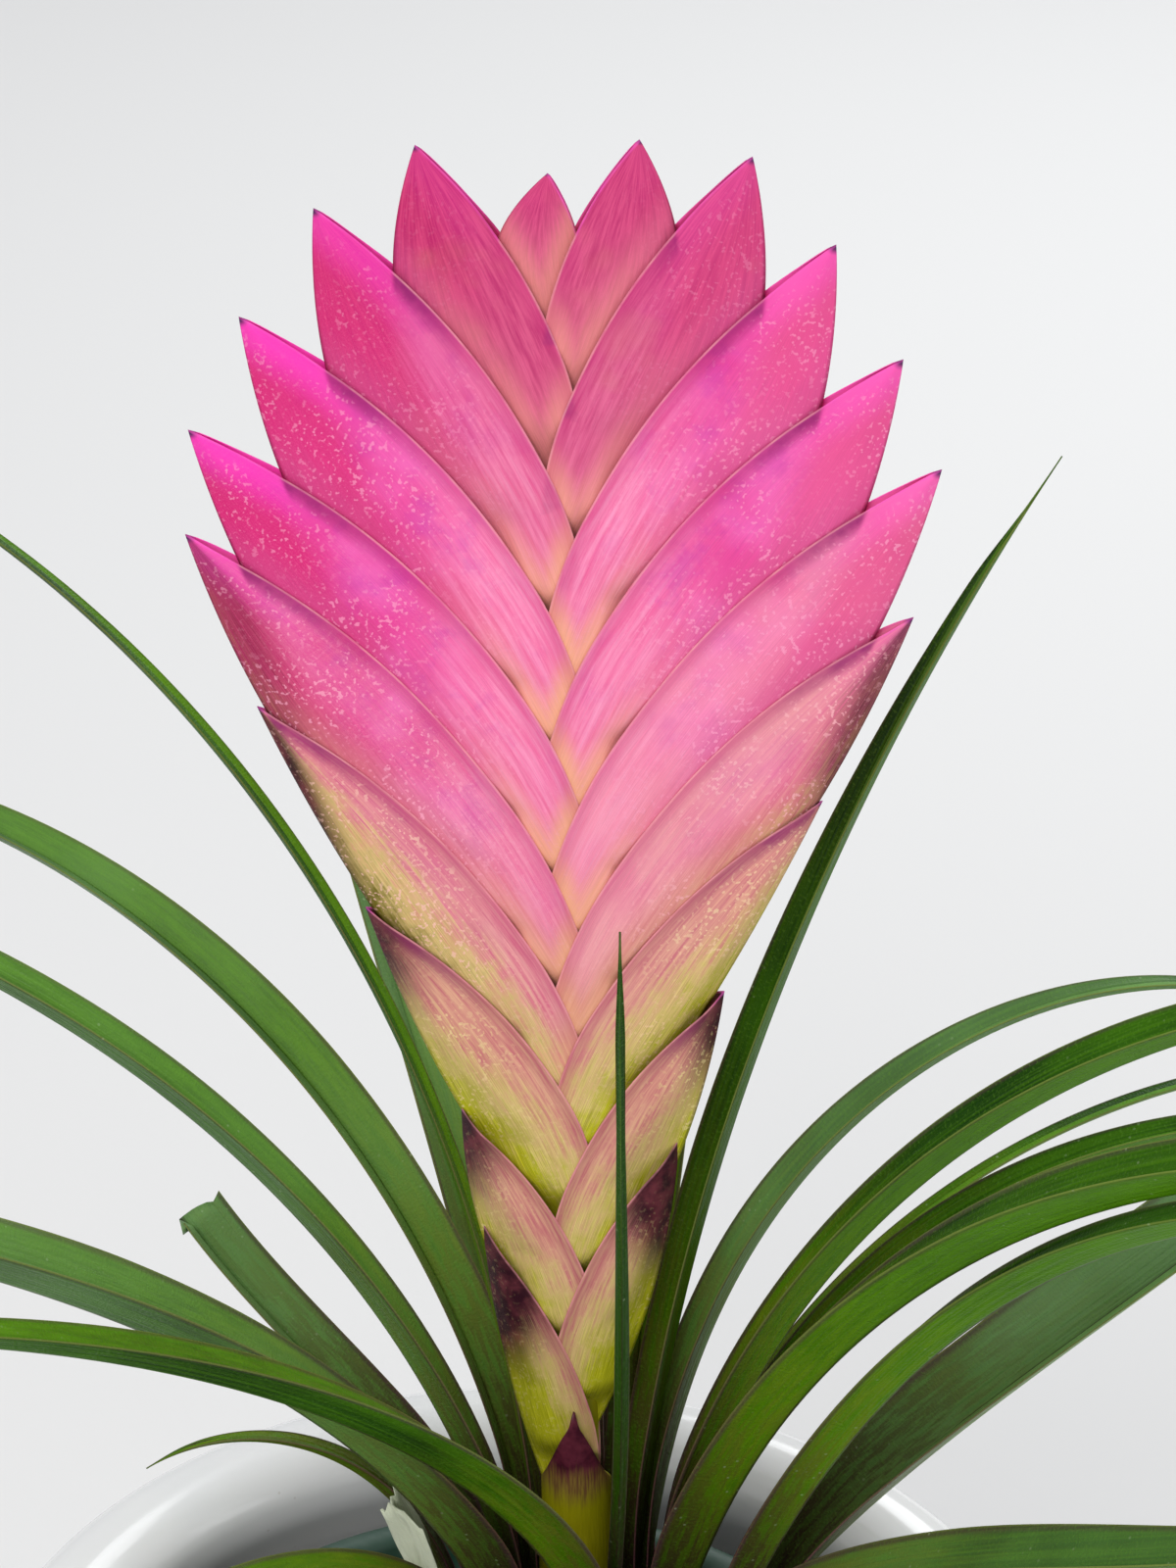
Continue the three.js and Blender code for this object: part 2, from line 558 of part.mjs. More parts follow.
// A sheath bract round the stalk, filled, with its rounded tip towards an azimuth. Its rim falls away
// from the tip in two parts: one spreads over these degrees, and the other is steeper.
const SHEATH_SIDES = 20;
const SHEATH_RINGS = [0, 0.35, 0.7, 1];
const SHEATH_DOME = [
  { part: 0.6, spread: 75 },
  { part: 0.4, spread: 38 },
];
const SHEATH_WAIST = 0.86;
const SHEATH_SWELL_REACH = 1.15;
function sheathSolid({ bottom, shoulder, tip, azimuth, radius }) {
  const points = [];
  const faces = [];
  const ringAt = (ring, side) => ring * SHEATH_SIDES + (side % SHEATH_SIDES);
  for (const share of SHEATH_RINGS) {
    for (let side = 0; side < SHEATH_SIDES; side++) {
      const turn = (2 * Math.PI * side) / SHEATH_SIDES;
      const apart = angleBetween(THREE.MathUtils.radToDeg(turn), azimuth);
      const parts = SHEATH_DOME.map(({ part, spread }) => part * Math.exp(-((apart / spread) ** 2)));
      const top = mix(shoulder, tip, parts[0] + parts[1]);
      const z = CROWN + mix(bottom, top, share);
      const fullness = Math.sin(Math.PI * Math.min(1, share * SHEATH_SWELL_REACH));
      const swell = radius * mix(SHEATH_WAIST, 1, fullness);
      const x = spikeAxis(z) + swell * Math.cos(turn);
      points.push(new THREE.Vector3(x, swell * Math.sin(turn), z));
    }
  }
  const floor = points.push(new THREE.Vector3(spikeAxis(CROWN), 0, CROWN + bottom)) - 1;
  const mouth = points.push(new THREE.Vector3(spikeAxis(CROWN + tip), 0, CROWN + tip)) - 1;
  const last = SHEATH_RINGS.length - 1;
  for (let side = 0; side < SHEATH_SIDES; side++) {
    faces.push([floor, ringAt(0, side + 1), ringAt(0, side)]);
    faces.push([mouth, ringAt(last, side), ringAt(last, side + 1)]);
    for (let ring = 0; ring < last; ring++) {
      faces.push([ringAt(ring, side), ringAt(ring, side + 1), ringAt(ring + 1, side + 1)]);
      faces.push([ringAt(ring, side), ringAt(ring + 1, side + 1), ringAt(ring + 1, side)]);
    }
  }
  return solidFrom(points, faces);
}

const SHEATHS = [
  { bottom: 10, shoulder: 22, tip: 30, azimuth: 100, radius: 3.9 },
  { bottom: 14, shoulder: 37, tip: 47.4, azimuth: 268, radius: 4.6 },
];
const SHEATH_WALL = 0.9;
const SCAPE_TOP = 24;
const HEAD_STUB = 26;
const SOCKET_TOP = 60;

// The sheath is filled up to the end of the scape's own stalk. Above that it is a shell, open at its top.
function sheathShell(sheath, grow = 0) {
  const { shoulder, tip, radius } = sheath;
  const outside = { ...sheath, shoulder: shoulder + grow, tip: tip + grow, radius: radius + grow };
  const inside = { ...sheath, bottom: SCAPE_TOP, radius: radius - SHEATH_WALL - grow };
  inside.shoulder = tip;
  inside.tip = tip + SHEATH_WALL;
  return sheathSolid(outside).subtract(sheathSolid(inside));
}

function scape() {
  const stalk = stalkPiece(STALK_RADIUS, STEM_TOP + STEM_CORE_HEIGHT + GAP - CROWN, SCAPE_TOP);
  const whole = union([stalk, ...SHEATHS.map((sheath) => sheathShell(sheath))]);
  return whole.subtract(stalkPiece(STALK_RADIUS + GAP, HEAD_STUB - GAP, SOCKET_TOP));
}

// The lowest bracts stand in the sheath, which they are clear of.
const HEAD_CORE_TOP = 160;
function flowerHead() {
  const bracts = BRACTS.map((bract, rank) => bractSolid(bract, rank));
  const whole = union([stalkPiece(STALK_RADIUS, HEAD_STUB, HEAD_CORE_TOP), ...bracts]);
  return whole.subtract(union(SHEATHS.map((sheath) => sheathShell(sheath, GAP))));
}

const plant = new THREE.Group();
plant.position.set(PLANT_X, PLANT_Y, 0);
root.add(plant);

addMesh(root, "cover_pot", coverPot(), "#f2f1ee", 0.25);
addMesh(root, "nursery_pot", nurseryPot(), "#1d3327", 0.55);
addMesh(root, "growing_mix", growingMix(), "#2f241b", 0.95);
addMesh(plant, "crown_stem", crownStem(), "#5b4a30", 0.9);
for (const leaf of seatLeaves()) {
  if (leaf.name === DRY_LEAF) {
    addMesh(plant, "dry_leaf_base", leafSolid(leaf), "#a98f66", 0.8);
  } else {
    addMesh(plant, "leaf_" + leaf.name, leafSolid(leaf), "#3f6f1e", 0.5);
  }
}
addMesh(plant, "scape", scape(), "#a9ab22", 0.5);
addMesh(plant, "flower_head", flowerHead(), "#e04f93", 0.45);

export default root;
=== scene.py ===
# %% [markdown]
# # A pink quill in its pot
# The plant is a flat head of folded pink bracts on a short stalk, over a rosette of narrow arching leaves.
# It grows in a thin dark green nursery pot, and that stands inside a thick white glazed pot.
# Each bract and each leaf is a thin sheet with a curved outline, so most pieces here start as a flat grid
# whose points are then carried to the place that the plant gives them.

import math
import random

import bmesh
import bpy
import numpy as np
from mathutils import Matrix, Vector, noise


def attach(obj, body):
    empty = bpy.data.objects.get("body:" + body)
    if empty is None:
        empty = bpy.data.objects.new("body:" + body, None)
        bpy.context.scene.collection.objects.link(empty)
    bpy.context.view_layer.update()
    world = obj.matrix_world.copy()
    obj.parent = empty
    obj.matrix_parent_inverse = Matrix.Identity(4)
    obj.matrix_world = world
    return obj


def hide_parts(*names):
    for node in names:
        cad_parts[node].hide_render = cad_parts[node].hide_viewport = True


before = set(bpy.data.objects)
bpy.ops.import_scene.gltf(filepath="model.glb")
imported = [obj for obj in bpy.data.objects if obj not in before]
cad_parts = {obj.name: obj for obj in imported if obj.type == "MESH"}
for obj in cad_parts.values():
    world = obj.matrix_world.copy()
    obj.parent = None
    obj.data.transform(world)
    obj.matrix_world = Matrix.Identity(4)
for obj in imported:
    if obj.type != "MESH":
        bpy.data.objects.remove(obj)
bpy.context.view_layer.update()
MM = 0.001
scene = bpy.context.scene
print("nodes in the frame:", len(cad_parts))

# %% [markdown]
# ## Camera
# The camera stands in front of the flower head and looks down at it by 28 degrees. A long lens keeps the
# perspective as gentle as it is in a close portrait of a plant. It comes first, because everything that
# follows is judged through it.

# %% Camera
LOOK_AT = Vector((8, 3, 204)) * MM
CAMERA_DISTANCE = 450 * MM
CAMERA_ELEVATION = math.radians(28)
LENS = 107.7


def add_object(name, data):
    made = bpy.data.objects.new(name, data)
    scene.collection.objects.link(made)
    return made


camera_data = bpy.data.cameras.new("plant_camera")
camera_data.lens = LENS
camera_data.sensor_width = 36
camera = add_object("plant_camera", camera_data)
backwards = Vector((0, -math.cos(CAMERA_ELEVATION), math.sin(CAMERA_ELEVATION)))
camera.location = LOOK_AT + backwards * CAMERA_DISTANCE
camera.rotation_euler = (-backwards).to_track_quat("-Z", "Y").to_euler()
scene.camera = camera
print("camera at", [round(v, 3) for v in camera.location])

# %% [markdown]
# ## Light and floor
# The plant stands in bright, soft, almost shadowless light. A pale world fills every side. One broad lamp
# above and in front models the bracts, one behind gives the leaves a cool sheen, and a weak one at the side
# keeps their dark halves readable. The plain view transform keeps the pinks as strong as they are.

# %% Light and floor
scene.view_settings.view_transform = "Standard"
scene.view_settings.look = "None"

world = bpy.data.worlds.new("soft_room")
scene.world = world
world.use_nodes = True
sky = world.node_tree.nodes["Background"]
sky.inputs["Color"].default_value = (0.97, 0.975, 1.0, 1)
sky.inputs["Strength"].default_value = 0.64


def soft_lamp(name, place, size, power, tint=(1, 1, 1)):
    data = bpy.data.lights.new(name, "AREA")
    data.shape = "DISK"
    data.size = size
    data.energy = power
    data.color = tint
    lamp = add_object(name, data)
    lamp.location = place
    lamp.rotation_euler = (Vector(PLANT_MIDDLE) - Vector(place)).to_track_quat("-Z", "Y").to_euler()


PLANT_MIDDLE = (0.008, 0.003, 0.18)
soft_lamp("front_lamp", (-0.25, -0.75, 0.85), 0.6, 5.4, (1, 0.985, 0.96))
soft_lamp("back_lamp", (0.35, 0.8, 0.75), 0.7, 4.5, (0.96, 0.98, 1))
soft_lamp("side_lamp", (0.9, -0.3, 0.45), 0.6, 1.2)

# %% [markdown]
# ## Materials, in short calls
# Every finish below is a small network of nodes. Writing each node by hand takes many lines, so a few
# helpers add a node, set what is constant and link what isn't. Colours are given on the usual scale from
# 0 to 255 and turned into the linear numbers that the shader works in.


# %% Helpers for finishes
def linear_colour(*triple):
    shares = [value / 255 for value in triple]
    return [v / 12.92 if v <= 0.04045 else ((v + 0.055) / 1.055) ** 2.4 for v in shares] + [1]


class Finish:
    """A material being made: each method adds one node and returns the socket that it gives."""

    def __init__(self, name):
        self.material = bpy.data.materials.new(name)
        self.material.use_nodes = True
        self.tree = self.material.node_tree
        self.shader = self.tree.nodes["Principled BSDF"]

    def node(self, kind, inputs=(), output=0, **settings):
        made = self.tree.nodes.new(kind)
        for key, value in settings.items():
            setattr(made, key, value)
        for key, value in dict(inputs).items():
            self.put(made.inputs[key], value)
        return made.outputs[output]

    def put(self, socket, value):
        """Links a socket, or sets a number or a colour of three numbers."""
        if isinstance(value, bpy.types.NodeSocket):
            self.tree.links.new(value, socket)
        else:
            socket.default_value = linear_colour(*value) if isinstance(value, tuple) else value

    def set(self, **values):
        names = {"colour": "Base Color", "rough": "Roughness", "normal": "Normal"}
        names |= {"specular": "Specular IOR Level", "coat": "Coat Weight", "coat_rough": "Coat Roughness"}
        for key, value in values.items():
            self.put(self.shader.inputs[names[key]], value)
        return self.material

    def attribute(self, name):
        return self.node("ShaderNodeAttribute", attribute_name=name, output="Fac")

    def place(self):
        return self.node("ShaderNodeTexCoord", output="Object")

    def maths(self, operation, a, b):
        return self.node("ShaderNodeMath", {0: a, 1: b}, operation=operation)

    def times(self, a, b):
        return self.maths("MULTIPLY", a, b)

    def plus(self, a, b):
        return self.maths("ADD", a, b)

    def wobble(self, noise, size):
        """A noise as a number that swings to both sides of zero."""
        return self.times(self.maths("SUBTRACT", noise, 0.5), size)

    def step(self, value, low, high, to_low=0.0, to_high=1.0):
        inputs = {"Value": value, "From Min": low, "From Max": high, "To Min": to_low, "To Max": to_high}
        return self.node("ShaderNodeMapRange", inputs, interpolation_type="SMOOTHSTEP")

    def blend(self, share, a, b):
        """Colour a where share is 0 and colour b where it is 1."""
        made = self.tree.nodes.new("ShaderNodeMix")
        made.data_type = "RGBA"
        for socket, value in ((made.inputs[0], share), (made.inputs[6], a), (made.inputs[7], b)):
            self.put(socket, value)
        return made.outputs[2]

    def shade(self, value, low, high, a, b):
        """Colour a where value is at low, colour b where it is at high."""
        return self.blend(self.step(value, low, high), a, b)

    def paint(self, share, tone):
        """Lays one more colour over the skin made so far."""
        self.skin = self.blend(share, self.skin, tone)

    def lanes(self, across, across_scale, along, along_scale, seed=0.0):
        """A place that is stretched along the piece, so a cloud read there turns into long streaks."""
        inputs = {0: self.times(across, across_scale), 1: self.times(along, along_scale), 2: seed}
        return self.node("ShaderNodeCombineXYZ", inputs)

    def cloud(self, place, scale, detail=2.0, rough=0.5):
        inputs = {"Vector": place, "Scale": scale, "Detail": detail, "Roughness": rough}
        return self.node("ShaderNodeTexNoise", inputs)

    def dots(self, place, scale, size, soft):
        gap = self.node("ShaderNodeTexVoronoi", {"Vector": place, "Scale": scale})
        return self.step(gap, size, size * (1 - soft))

    def bump(self, height, strength, distance):
        inputs = {"Height": height, "Strength": strength, "Distance": distance}
        return self.node("ShaderNodeBump", inputs)


print("finish helpers ready")

# %% [markdown]
# ## Pieces, in short calls
# A piece is a mesh object at the origin. It rides on the plant's one body, hides the solid that it stands
# for, and takes a finish. Points carry numbers of their own, such as how far along a leaf they lie, and the
# finishes read those numbers to lay veins and colours along the leaf.


# %% Helpers for pieces
def mesh_object(name, shape, material=None):
    mesh = bpy.data.meshes.new(name)
    shape.to_mesh(mesh)
    shape.free()
    if material:
        mesh.materials.append(material)
    return add_object(name, mesh)


def new_piece(name, shape, material, node, smooth=True):
    piece = mesh_object(name, shape, material)
    for face in piece.data.polygons:
        face.use_smooth = smooth
    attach(piece, "root")
    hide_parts(node)
    return piece


def sheet_grid(columns, rows, place):
    """A grid whose point at (across, along), each from 0 to 1, goes where place says.
    place also returns the numbers that the point carries."""
    shape = bmesh.new()
    bmesh.ops.create_grid(shape, x_segments=columns, y_segments=rows, size=0.5)
    _, first_numbers = place(0.0, 0.0)
    layers = {key: shape.verts.layers.float.new(key) for key in first_numbers}
    for point in shape.verts:
        across, along = clamp(point.co.x + 0.5), clamp(point.co.y + 0.5)
        point.co, numbers = place(across, along)
        for key, layer in layers.items():
            point[layer] = numbers[key]
    return shape


def rod(shape, radius, length, middle, segments):
    """Adds an upright round rod to a shape."""
    size = {"radius1": radius, "radius2": radius, "depth": length, "segments": segments}
    bmesh.ops.create_cone(shape, cap_ends=True, matrix=Matrix.Translation(middle), **size)


def thicken(piece, thickness, offset=-1.0):
    wall = piece.modifiers.new("wall", "SOLIDIFY")
    wall.thickness = thickness
    wall.offset = offset
    wall.use_even_offset = False
    return piece


def lerp(a, b, share):
    return a + (b - a) * share


def clamp(value, low=0.0, high=1.0):
    return max(low, min(high, value))


def ease(value, low, high):
    share = clamp((value - low) / (high - low))
    return share * share * (3 - 2 * share)


print("piece helpers ready")

# %% [markdown]
# ## The floor
# A broad pale sheet that the pot stands on. It is stage and no part of the plant.

# %% Floor
floor_shape = bmesh.new()
bmesh.ops.create_grid(floor_shape, x_segments=2, y_segments=2, size=6)
floor_finish = Finish("pale_floor").set(colour=(224, 224, 223), rough=0.9, specular=0.1)
floor = mesh_object("floor", floor_shape, floor_finish)
print("floor", floor.dimensions[:2])

# %% [markdown]
# ## The bracts of the flower head
# The head has two ranks of bracts, left and right of one axis. Each bract is folded along its keel, which
# is the outer edge, and its two sides lie on the two faces of the head like the cover of a book. The
# table gives each bract's side, where it starts, where its tip is, how far the keel bows out and how
# far the free margin bows in. The same outlines make the solid that the pieces stand for. The formulas
# take whole arrays of points at once, because a bract has thousands of them.

# %% Bract table
CROWN = 84.0
PLANT_X, PLANT_Y = 8.0, 3.0
SPIKE_SHIFT, SPIKE_LEAN = -0.8, -0.011
BRACTS = [
    (-1, 34, 9, 69.8, 1.2, 5.2),
    (1, 45, 10.7, 79.8, 1.8, 5.4),
    (-1, 52, 10.8, 83.5, 2.4, 5.6),
    (1, 60, 15.2, 97, 2.2, 6.6),
    (-1, 68, 19.6, 106.5, 1.6, 8),
    (1, 76, 24.6, 118.2, 1, 8.2),
    (-1, 81, 29.2, 128.4, 2, 8.8),
    (1, 88, 32.9, 137.8, 3.2, 9.5),
    (-1, 94, 35.1, 146.4, 4.8, 9.6),
    (1, 101, 35.2, 153, 5.3, 10),
    (-1, 106, 34.3, 157, 5.4, 10.6),
    (1, 113, 31.4, 164, 6.4, 10),
    (-1, 119, 29.1, 168.2, 6, 9.5),
    (1, 127, 25.1, 175.2, 7.4, 8.3),
    (-1, 133, 21.9, 178.7, 7, 7.8),
    (1, 142, 17.5, 183.6, 7.4, 6.5),
    (-1, 150, 12.6, 184.7, 7, 5.3),
    (1, 159, 7.4, 185.2, 6.2, 3.8),
    (-1, 166, 0.8, 182, 4.4, 2.6),
]
RANKS = len(BRACTS)
FOOT_HALF_WIDTH, MARGIN_AT_FOOT, MARGIN_PEAK = 2.0, 0.45, 0.38


def spike_axis(z):
    return SPIKE_SHIFT + SPIKE_LEAN * (z - CROWN)


def bract_edges(rank, t):
    """How far the keel and the margin stand off the straight line from foot to tip."""
    _, _, _, _, belly, crest = BRACTS[rank]
    keel = -FOOT_HALF_WIDTH * (1 - t) - belly * 4 * t * (1 - t)
    rising = np.sin(math.pi / 2 * np.minimum(t / MARGIN_PEAK, 1))
    falling = 1 - np.clip((t - MARGIN_PEAK) / (1 - MARGIN_PEAK), 0, 1) ** 2.2
    margin = np.where(t < MARGIN_PEAK, MARGIN_AT_FOOT + (1 - MARGIN_AT_FOOT) * rising, falling)
    return keel, crest * margin


def bract_point(rank, share, t):
    """How far out and how high a bract's points are: share 0 is the keel and 1 the margin."""
    _, foot, tip_out, tip_up, _, _ = BRACTS[rank]
    length = math.hypot(tip_out, tip_up - foot)
    keel, margin = bract_edges(rank, t)
    aside = keel + (margin - keel) * share
    out = t * tip_out - aside * (tip_up - foot) / length
    z = CROWN + foot + t * (tip_up - foot) + aside * tip_out / length
    return out, z


print("bracts:", RANKS)

# %% [markdown]
# ## What lies behind and over each point
# The lower bract always lies over the higher one, so a point's neighbours decide how far it stands off
# the middle, how its colour runs, where painted shade deepens it and where a painted shadow falls on it.
# Each bract's outline is laid over the points of every other one, and each point learns how far inside that
# outline it is. A finish can cut a sharp line in such a distance, while a plain yes or no per point would
# blur.

# %% Distances inside the outlines
OUTLINE_STEPS = 28
FAR_OUTSIDE = -30.0


def bract_outline(rank):
    steps = np.linspace(0, 1, OUTLINE_STEPS + 1)
    sides = []
    for share, ts in ((0, steps), (1, steps[::-1])):
        out, z = bract_point(rank, share, ts)
        sides.append(np.column_stack([spike_axis(z) + BRACTS[rank][0] * out, z]))
    return np.vstack(sides)


def inside_distance(points, outline):
    """Distance of each point to a closed outline, positive inside it."""
    start, end = outline, np.roll(outline, -1, axis=0)
    side = end - start
    from_start = points[:, None, :] - start[None]
    share = (from_start * side).sum(2) / np.maximum((side**2).sum(1), 1e-9)
    nearest = from_start - np.clip(share, 0, 1)[..., None] * side
    distance = np.sqrt((nearest**2).sum(2)).min(1)
    px, py = points[:, None, 0], points[:, None, 1]
    crosses = (start[:, 1] > py) != (end[:, 1] > py)
    level = np.where(np.abs(side[:, 1]) < 1e-9, 1e-9, side[:, 1])
    left_of = px < start[:, 0] + (py - start[:, 1]) * side[:, 0] / level
    inside = (crosses & left_of).sum(1) % 2 == 1
    return np.where(inside, distance, -distance)


outlines = [bract_outline(rank) for rank in range(RANKS)]


def inside_all(points):
    return np.array([inside_distance(points, outline) for outline in outlines])


def ease_all(values, low, high):
    share = np.clip((values - low) / (high - low), 0, 1)
    return share * share * (3 - 2 * share)


print("outlines measured:", len(outlines))

# %% [markdown]
# ## How thick the head is
# The head is a lens: thick along the axis, thin at the keels. Each bract that passes behind a point
# lifts it by one pitch, so the order is right everywhere and the feet of the bracts stay hidden. Where
# nothing lies behind, the two sides of the bract press together, which closes the free tips. Low down the
# bracts wrap the round stalk, and the head is rounder there.

# %% Thickness of the head
CORE_HALF_THICKNESS, CORE_SPREAD, EDGE_HALF_THICKNESS = 2.6, 15.0, 0.35
HEAD_TOP, TOP_TAPER, HEAD_FOOT, FOOT_TAPER = 188, 60, 16, 90
STALK_WRAP, WRAP_SPREAD, WRAP_FADES = 1.7, 7.0, (42, 96)
BRACT_PITCH, RANK_STEP, CLASP_HEIGHT, OVER_REACH = 0.085, 0.015, 6.0, 5.0
KEEL_ROUND_AT_FOOT, KEEL_ROUND = 0.25, 2.4
CLOSED_HALF, TIP_BULGE = 0.26, 0.45


def head_half_thickness(out, z):
    above = z - CROWN
    to_top = np.clip((HEAD_TOP - above) / TOP_TAPER, 0.1, 1)
    to_foot = np.clip((above - HEAD_FOOT) / FOOT_TAPER, 0.2, 1)
    core = CORE_HALF_THICKNESS * np.minimum(to_top, to_foot) * np.exp(-((out / CORE_SPREAD) ** 2))
    wrap = STALK_WRAP * (1 - ease_all(above, *WRAP_FADES)) * np.exp(-((out / WRAP_SPREAD) ** 2))
    return EDGE_HALF_THICKNESS + core + wrap


def clasp(rank, z):
    return ease_all(z - CROWN - BRACTS[rank][1], 0, CLASP_HEIGHT)


def bract_half_thickness(rank, out, z, t, from_keel, share, inside):
    layers, held_open = clasp(rank, z), np.zeros_like(z)
    for later in range(rank + 1, RANKS):
        over = ease_all(inside[later], -OVER_REACH, 0)
        layers = layers + over * clasp(later, z)
        held_open = np.maximum(held_open, over)
    round_over = lerp(KEEL_ROUND_AT_FOOT, KEEL_ROUND, ease_all(t, 0.1, 0.5))
    opened = np.clip(from_keel / round_over, 0, 1)
    lift = BRACT_PITCH * layers + RANK_STEP * (RANKS - rank)
    closed = CLOSED_HALF + TIP_BULGE * 4 * share * (1 - share)
    full = head_half_thickness(out, z) + lift
    return opened * (2 - opened) * (closed + (full - closed) * held_open)


half_way_up = head_half_thickness(np.array(0.0), CROWN + 120).round(2)
print("half thickness on the axis, half way up:", half_way_up, "mm")

# %% [markdown]
# ## The finish of the bracts
# On the plant the colour runs along each bract: peach or green at the foot, clear pink in the middle, hot
# magenta along the margin of the free tip and crimson along its keel. It also runs up the head, from
# yellow-green bracts with maroon tips to all-pink ones. Just inside the margin the skin is darker, painted
# shade of the bract behind seen through it, and on the upper bracts a darker purple, also painted shade,
# lies where two bracts are behind. Just beyond the margin of the bract in front the skin is duller, partly
# its own colour and partly painted shade, with a thin painted contact shadow right at that margin. A
# painted shadow wedge lies under the margin where it crosses the keel of the bract behind, and a thin
# painted highlight runs along each margin. Fine fibres run from foot to tip, and tiny pale scales are
# scattered between them.
# Numbers on the points steer all of it, so one finish serves the nineteen bracts: distances in millimetres,
# and how green, dusky or maroon the place is.

# %% Bract finish
POINT_NUMBERS = ("share", "along", "rank", "out", "edge_mm", "free_mm", "behind_mm", "second_mm")
POINT_NUMBERS += ("green", "dusk", "maroon")


def bract_finish():
    f = Finish("bract_skin")
    numbers = map(f.attribute, POINT_NUMBERS)
    share, along, rank, out, edge, free, behind, second, green, dusk, maroon = numbers
    place = f.place()
    seed = f.times(rank, 37.0)

    lanes = f.lanes(share, 30.0, along, 6.0, seed)
    veins = f.cloud(lanes, 1.0, 5.0, 0.65)
    fine_lanes = f.lanes(share, 150.0, along, 9.0, seed)
    fibres = f.cloud(fine_lanes, 1.0, 2.0, 0.6)
    drift = f.cloud(place, 90.0, 3.0, 0.55)
    mottle = f.cloud(place, 420.0, 3.0, 0.6)
    stray = f.wobble(veins, 1.0)
    right = f.maths("MODULO", rank, 2.0)

    middle = f.shade(drift, 0.35, 0.65, (236, 74, 158), (255, 122, 204))
    inner = f.shade(veins, 0.25, 0.75, (244, 104, 160), (255, 158, 198))
    f.skin = f.shade(out, 17.0, 5.0, middle, inner)
    wavy = f.plus(along, f.times(stray, 0.25))
    f.paint(f.times(f.step(wavy, 0.4, 0.95), 0.6), (224, 50, 142))
    bruised = f.step(f.cloud(place, 210.0, 4.0, 0.6), 0.48, 0.68)
    violet = f.times(bruised, f.step(out, 4.0, 12.0, 0.15, 0.45))
    f.paint(violet, (206, 62, 168))
    faded = f.step(f.cloud(place, 120.0, 3.0, 0.5), 0.3, 0.6, 0.35, 0.8)
    faded = f.times(f.step(rank, 11.5, 7.5), faded)
    f.paint(f.times(faded, right), (255, 166, 184))
    glow = f.blend(f.step(f.plus(edge, stray), 5.0, 0.8), (216, 30, 108), (254, 56, 188))
    glow = f.blend(f.times(right, 0.45), glow, (255, 124, 180))
    soft_behind = f.plus(behind, f.times(stray, 4.0))
    unbacked = f.times(f.step(soft_behind, 3.0, -2.0), f.step(out, 4.0, 12.0, 0.0, 0.8))
    f.paint(unbacked, glow)
    rose = f.shade(veins, 0.35, 0.65, (180, 36, 98), (212, 70, 120))
    rose = f.blend(f.step(drift, 0.5, 0.64, 0.0, 0.5), rose, (194, 96, 98))
    f.paint(f.step(rank, 12.5, 16.0, 0.0, 0.82), rose)

    # Just beyond the margin of the bract in front the pink is duller: partly its own colour, partly painted
    # shade.
    dull = f.step(f.plus(free, f.times(stray, 2.5)), 4.2, 0.2)
    dull_tone = f.shade(out, 16.0, 5.0, (206, 90, 146), (238, 142, 152))
    dull_tone = f.shade(rank, 9.5, 6.5, dull_tone, (208, 148, 108))
    f.paint(f.times(dull, f.step(rank, 9.5, 6.5, 0.36, 0.6)), dull_tone)
    corner = f.times(f.step(f.plus(free, stray), 2.6, 0.0), f.step(out, 9.0, 1.0))
    corner = f.times(corner, f.step(rank, 12.5, 16.0, 0.85, 0.35))
    f.paint(corner, (246, 178, 134))
    # On the upper bracts, a darker purple where two bracts lie behind: painted shade seen through the thin
    # bract.
    deep = f.times(f.step(second, -0.2, 0.5), f.step(rank, 12.0, 17.0, 0.0, 0.8))
    f.paint(f.times(deep, f.step(mottle, 0.3, 0.6, 0.5, 1.0)), (142, 52, 112))

    dusky = f.shade(veins, 0.3, 0.7, (210, 116, 126), (238, 184, 152))
    f.paint(dusk, dusky)
    beige = f.shade(fibres, 0.3, 0.7, (206, 180, 104), (232, 212, 138))
    leafy = f.shade(fibres, 0.3, 0.7, (158, 158, 14), (212, 208, 46))
    leafy = f.shade(rank, 5.2, 6.0, leafy, (112, 104, 22))
    uneven = f.plus(f.times(stray, 0.9), f.wobble(mottle, 0.7))
    greenish = f.plus(green, f.times(uneven, f.step(green, 0.02, 0.3)))
    f.paint(f.times(f.step(greenish, 0.05, 0.6), 0.85), beige)
    f.paint(f.step(greenish, 0.45, 1.05), leafy)

    # Just inside the margin, where a bract lies behind, a darker band: painted shade of that bract seen
    # through the thin margin.
    rim = f.times(f.step(edge, 2.0, 0.2), f.step(out, 3.0, 14.0, 0.38, 0.5))
    rim = f.times(rim, f.step(behind, -0.5, 0.3))
    rim_tone = f.shade(rank, 7.0, 3.0, (190, 36, 112), (140, 62, 78))
    f.paint(rim, rim_tone)
    # Under the margin, where it crosses the keel of the bract behind, a dark wedge: a painted shadow.
    shadow_wedge = f.times(f.step(edge, 2.2, 0.4), f.step(out, 6.0, 13.0))
    crossing = f.times(f.step(behind, -0.3, 0.2), f.step(behind, 7.5, 0.4))
    shadow_wedge = f.times(f.times(shadow_wedge, crossing), f.step(mottle, 0.25, 0.75, 0.5, 0.9))
    f.paint(shadow_wedge, (138, 34, 104))

    dark = f.step(f.plus(maroon, f.wobble(fibres, 0.8)), 0.2, 0.95)
    brown = f.shade(mottle, 0.35, 0.7, (52, 18, 32), (112, 52, 62))
    brown = f.shade(rank, 6.5, 8.0, brown, (122, 22, 56))
    f.paint(dark, brown)
    f.paint(f.step(along, 0.982, 0.994), (84, 40, 92))

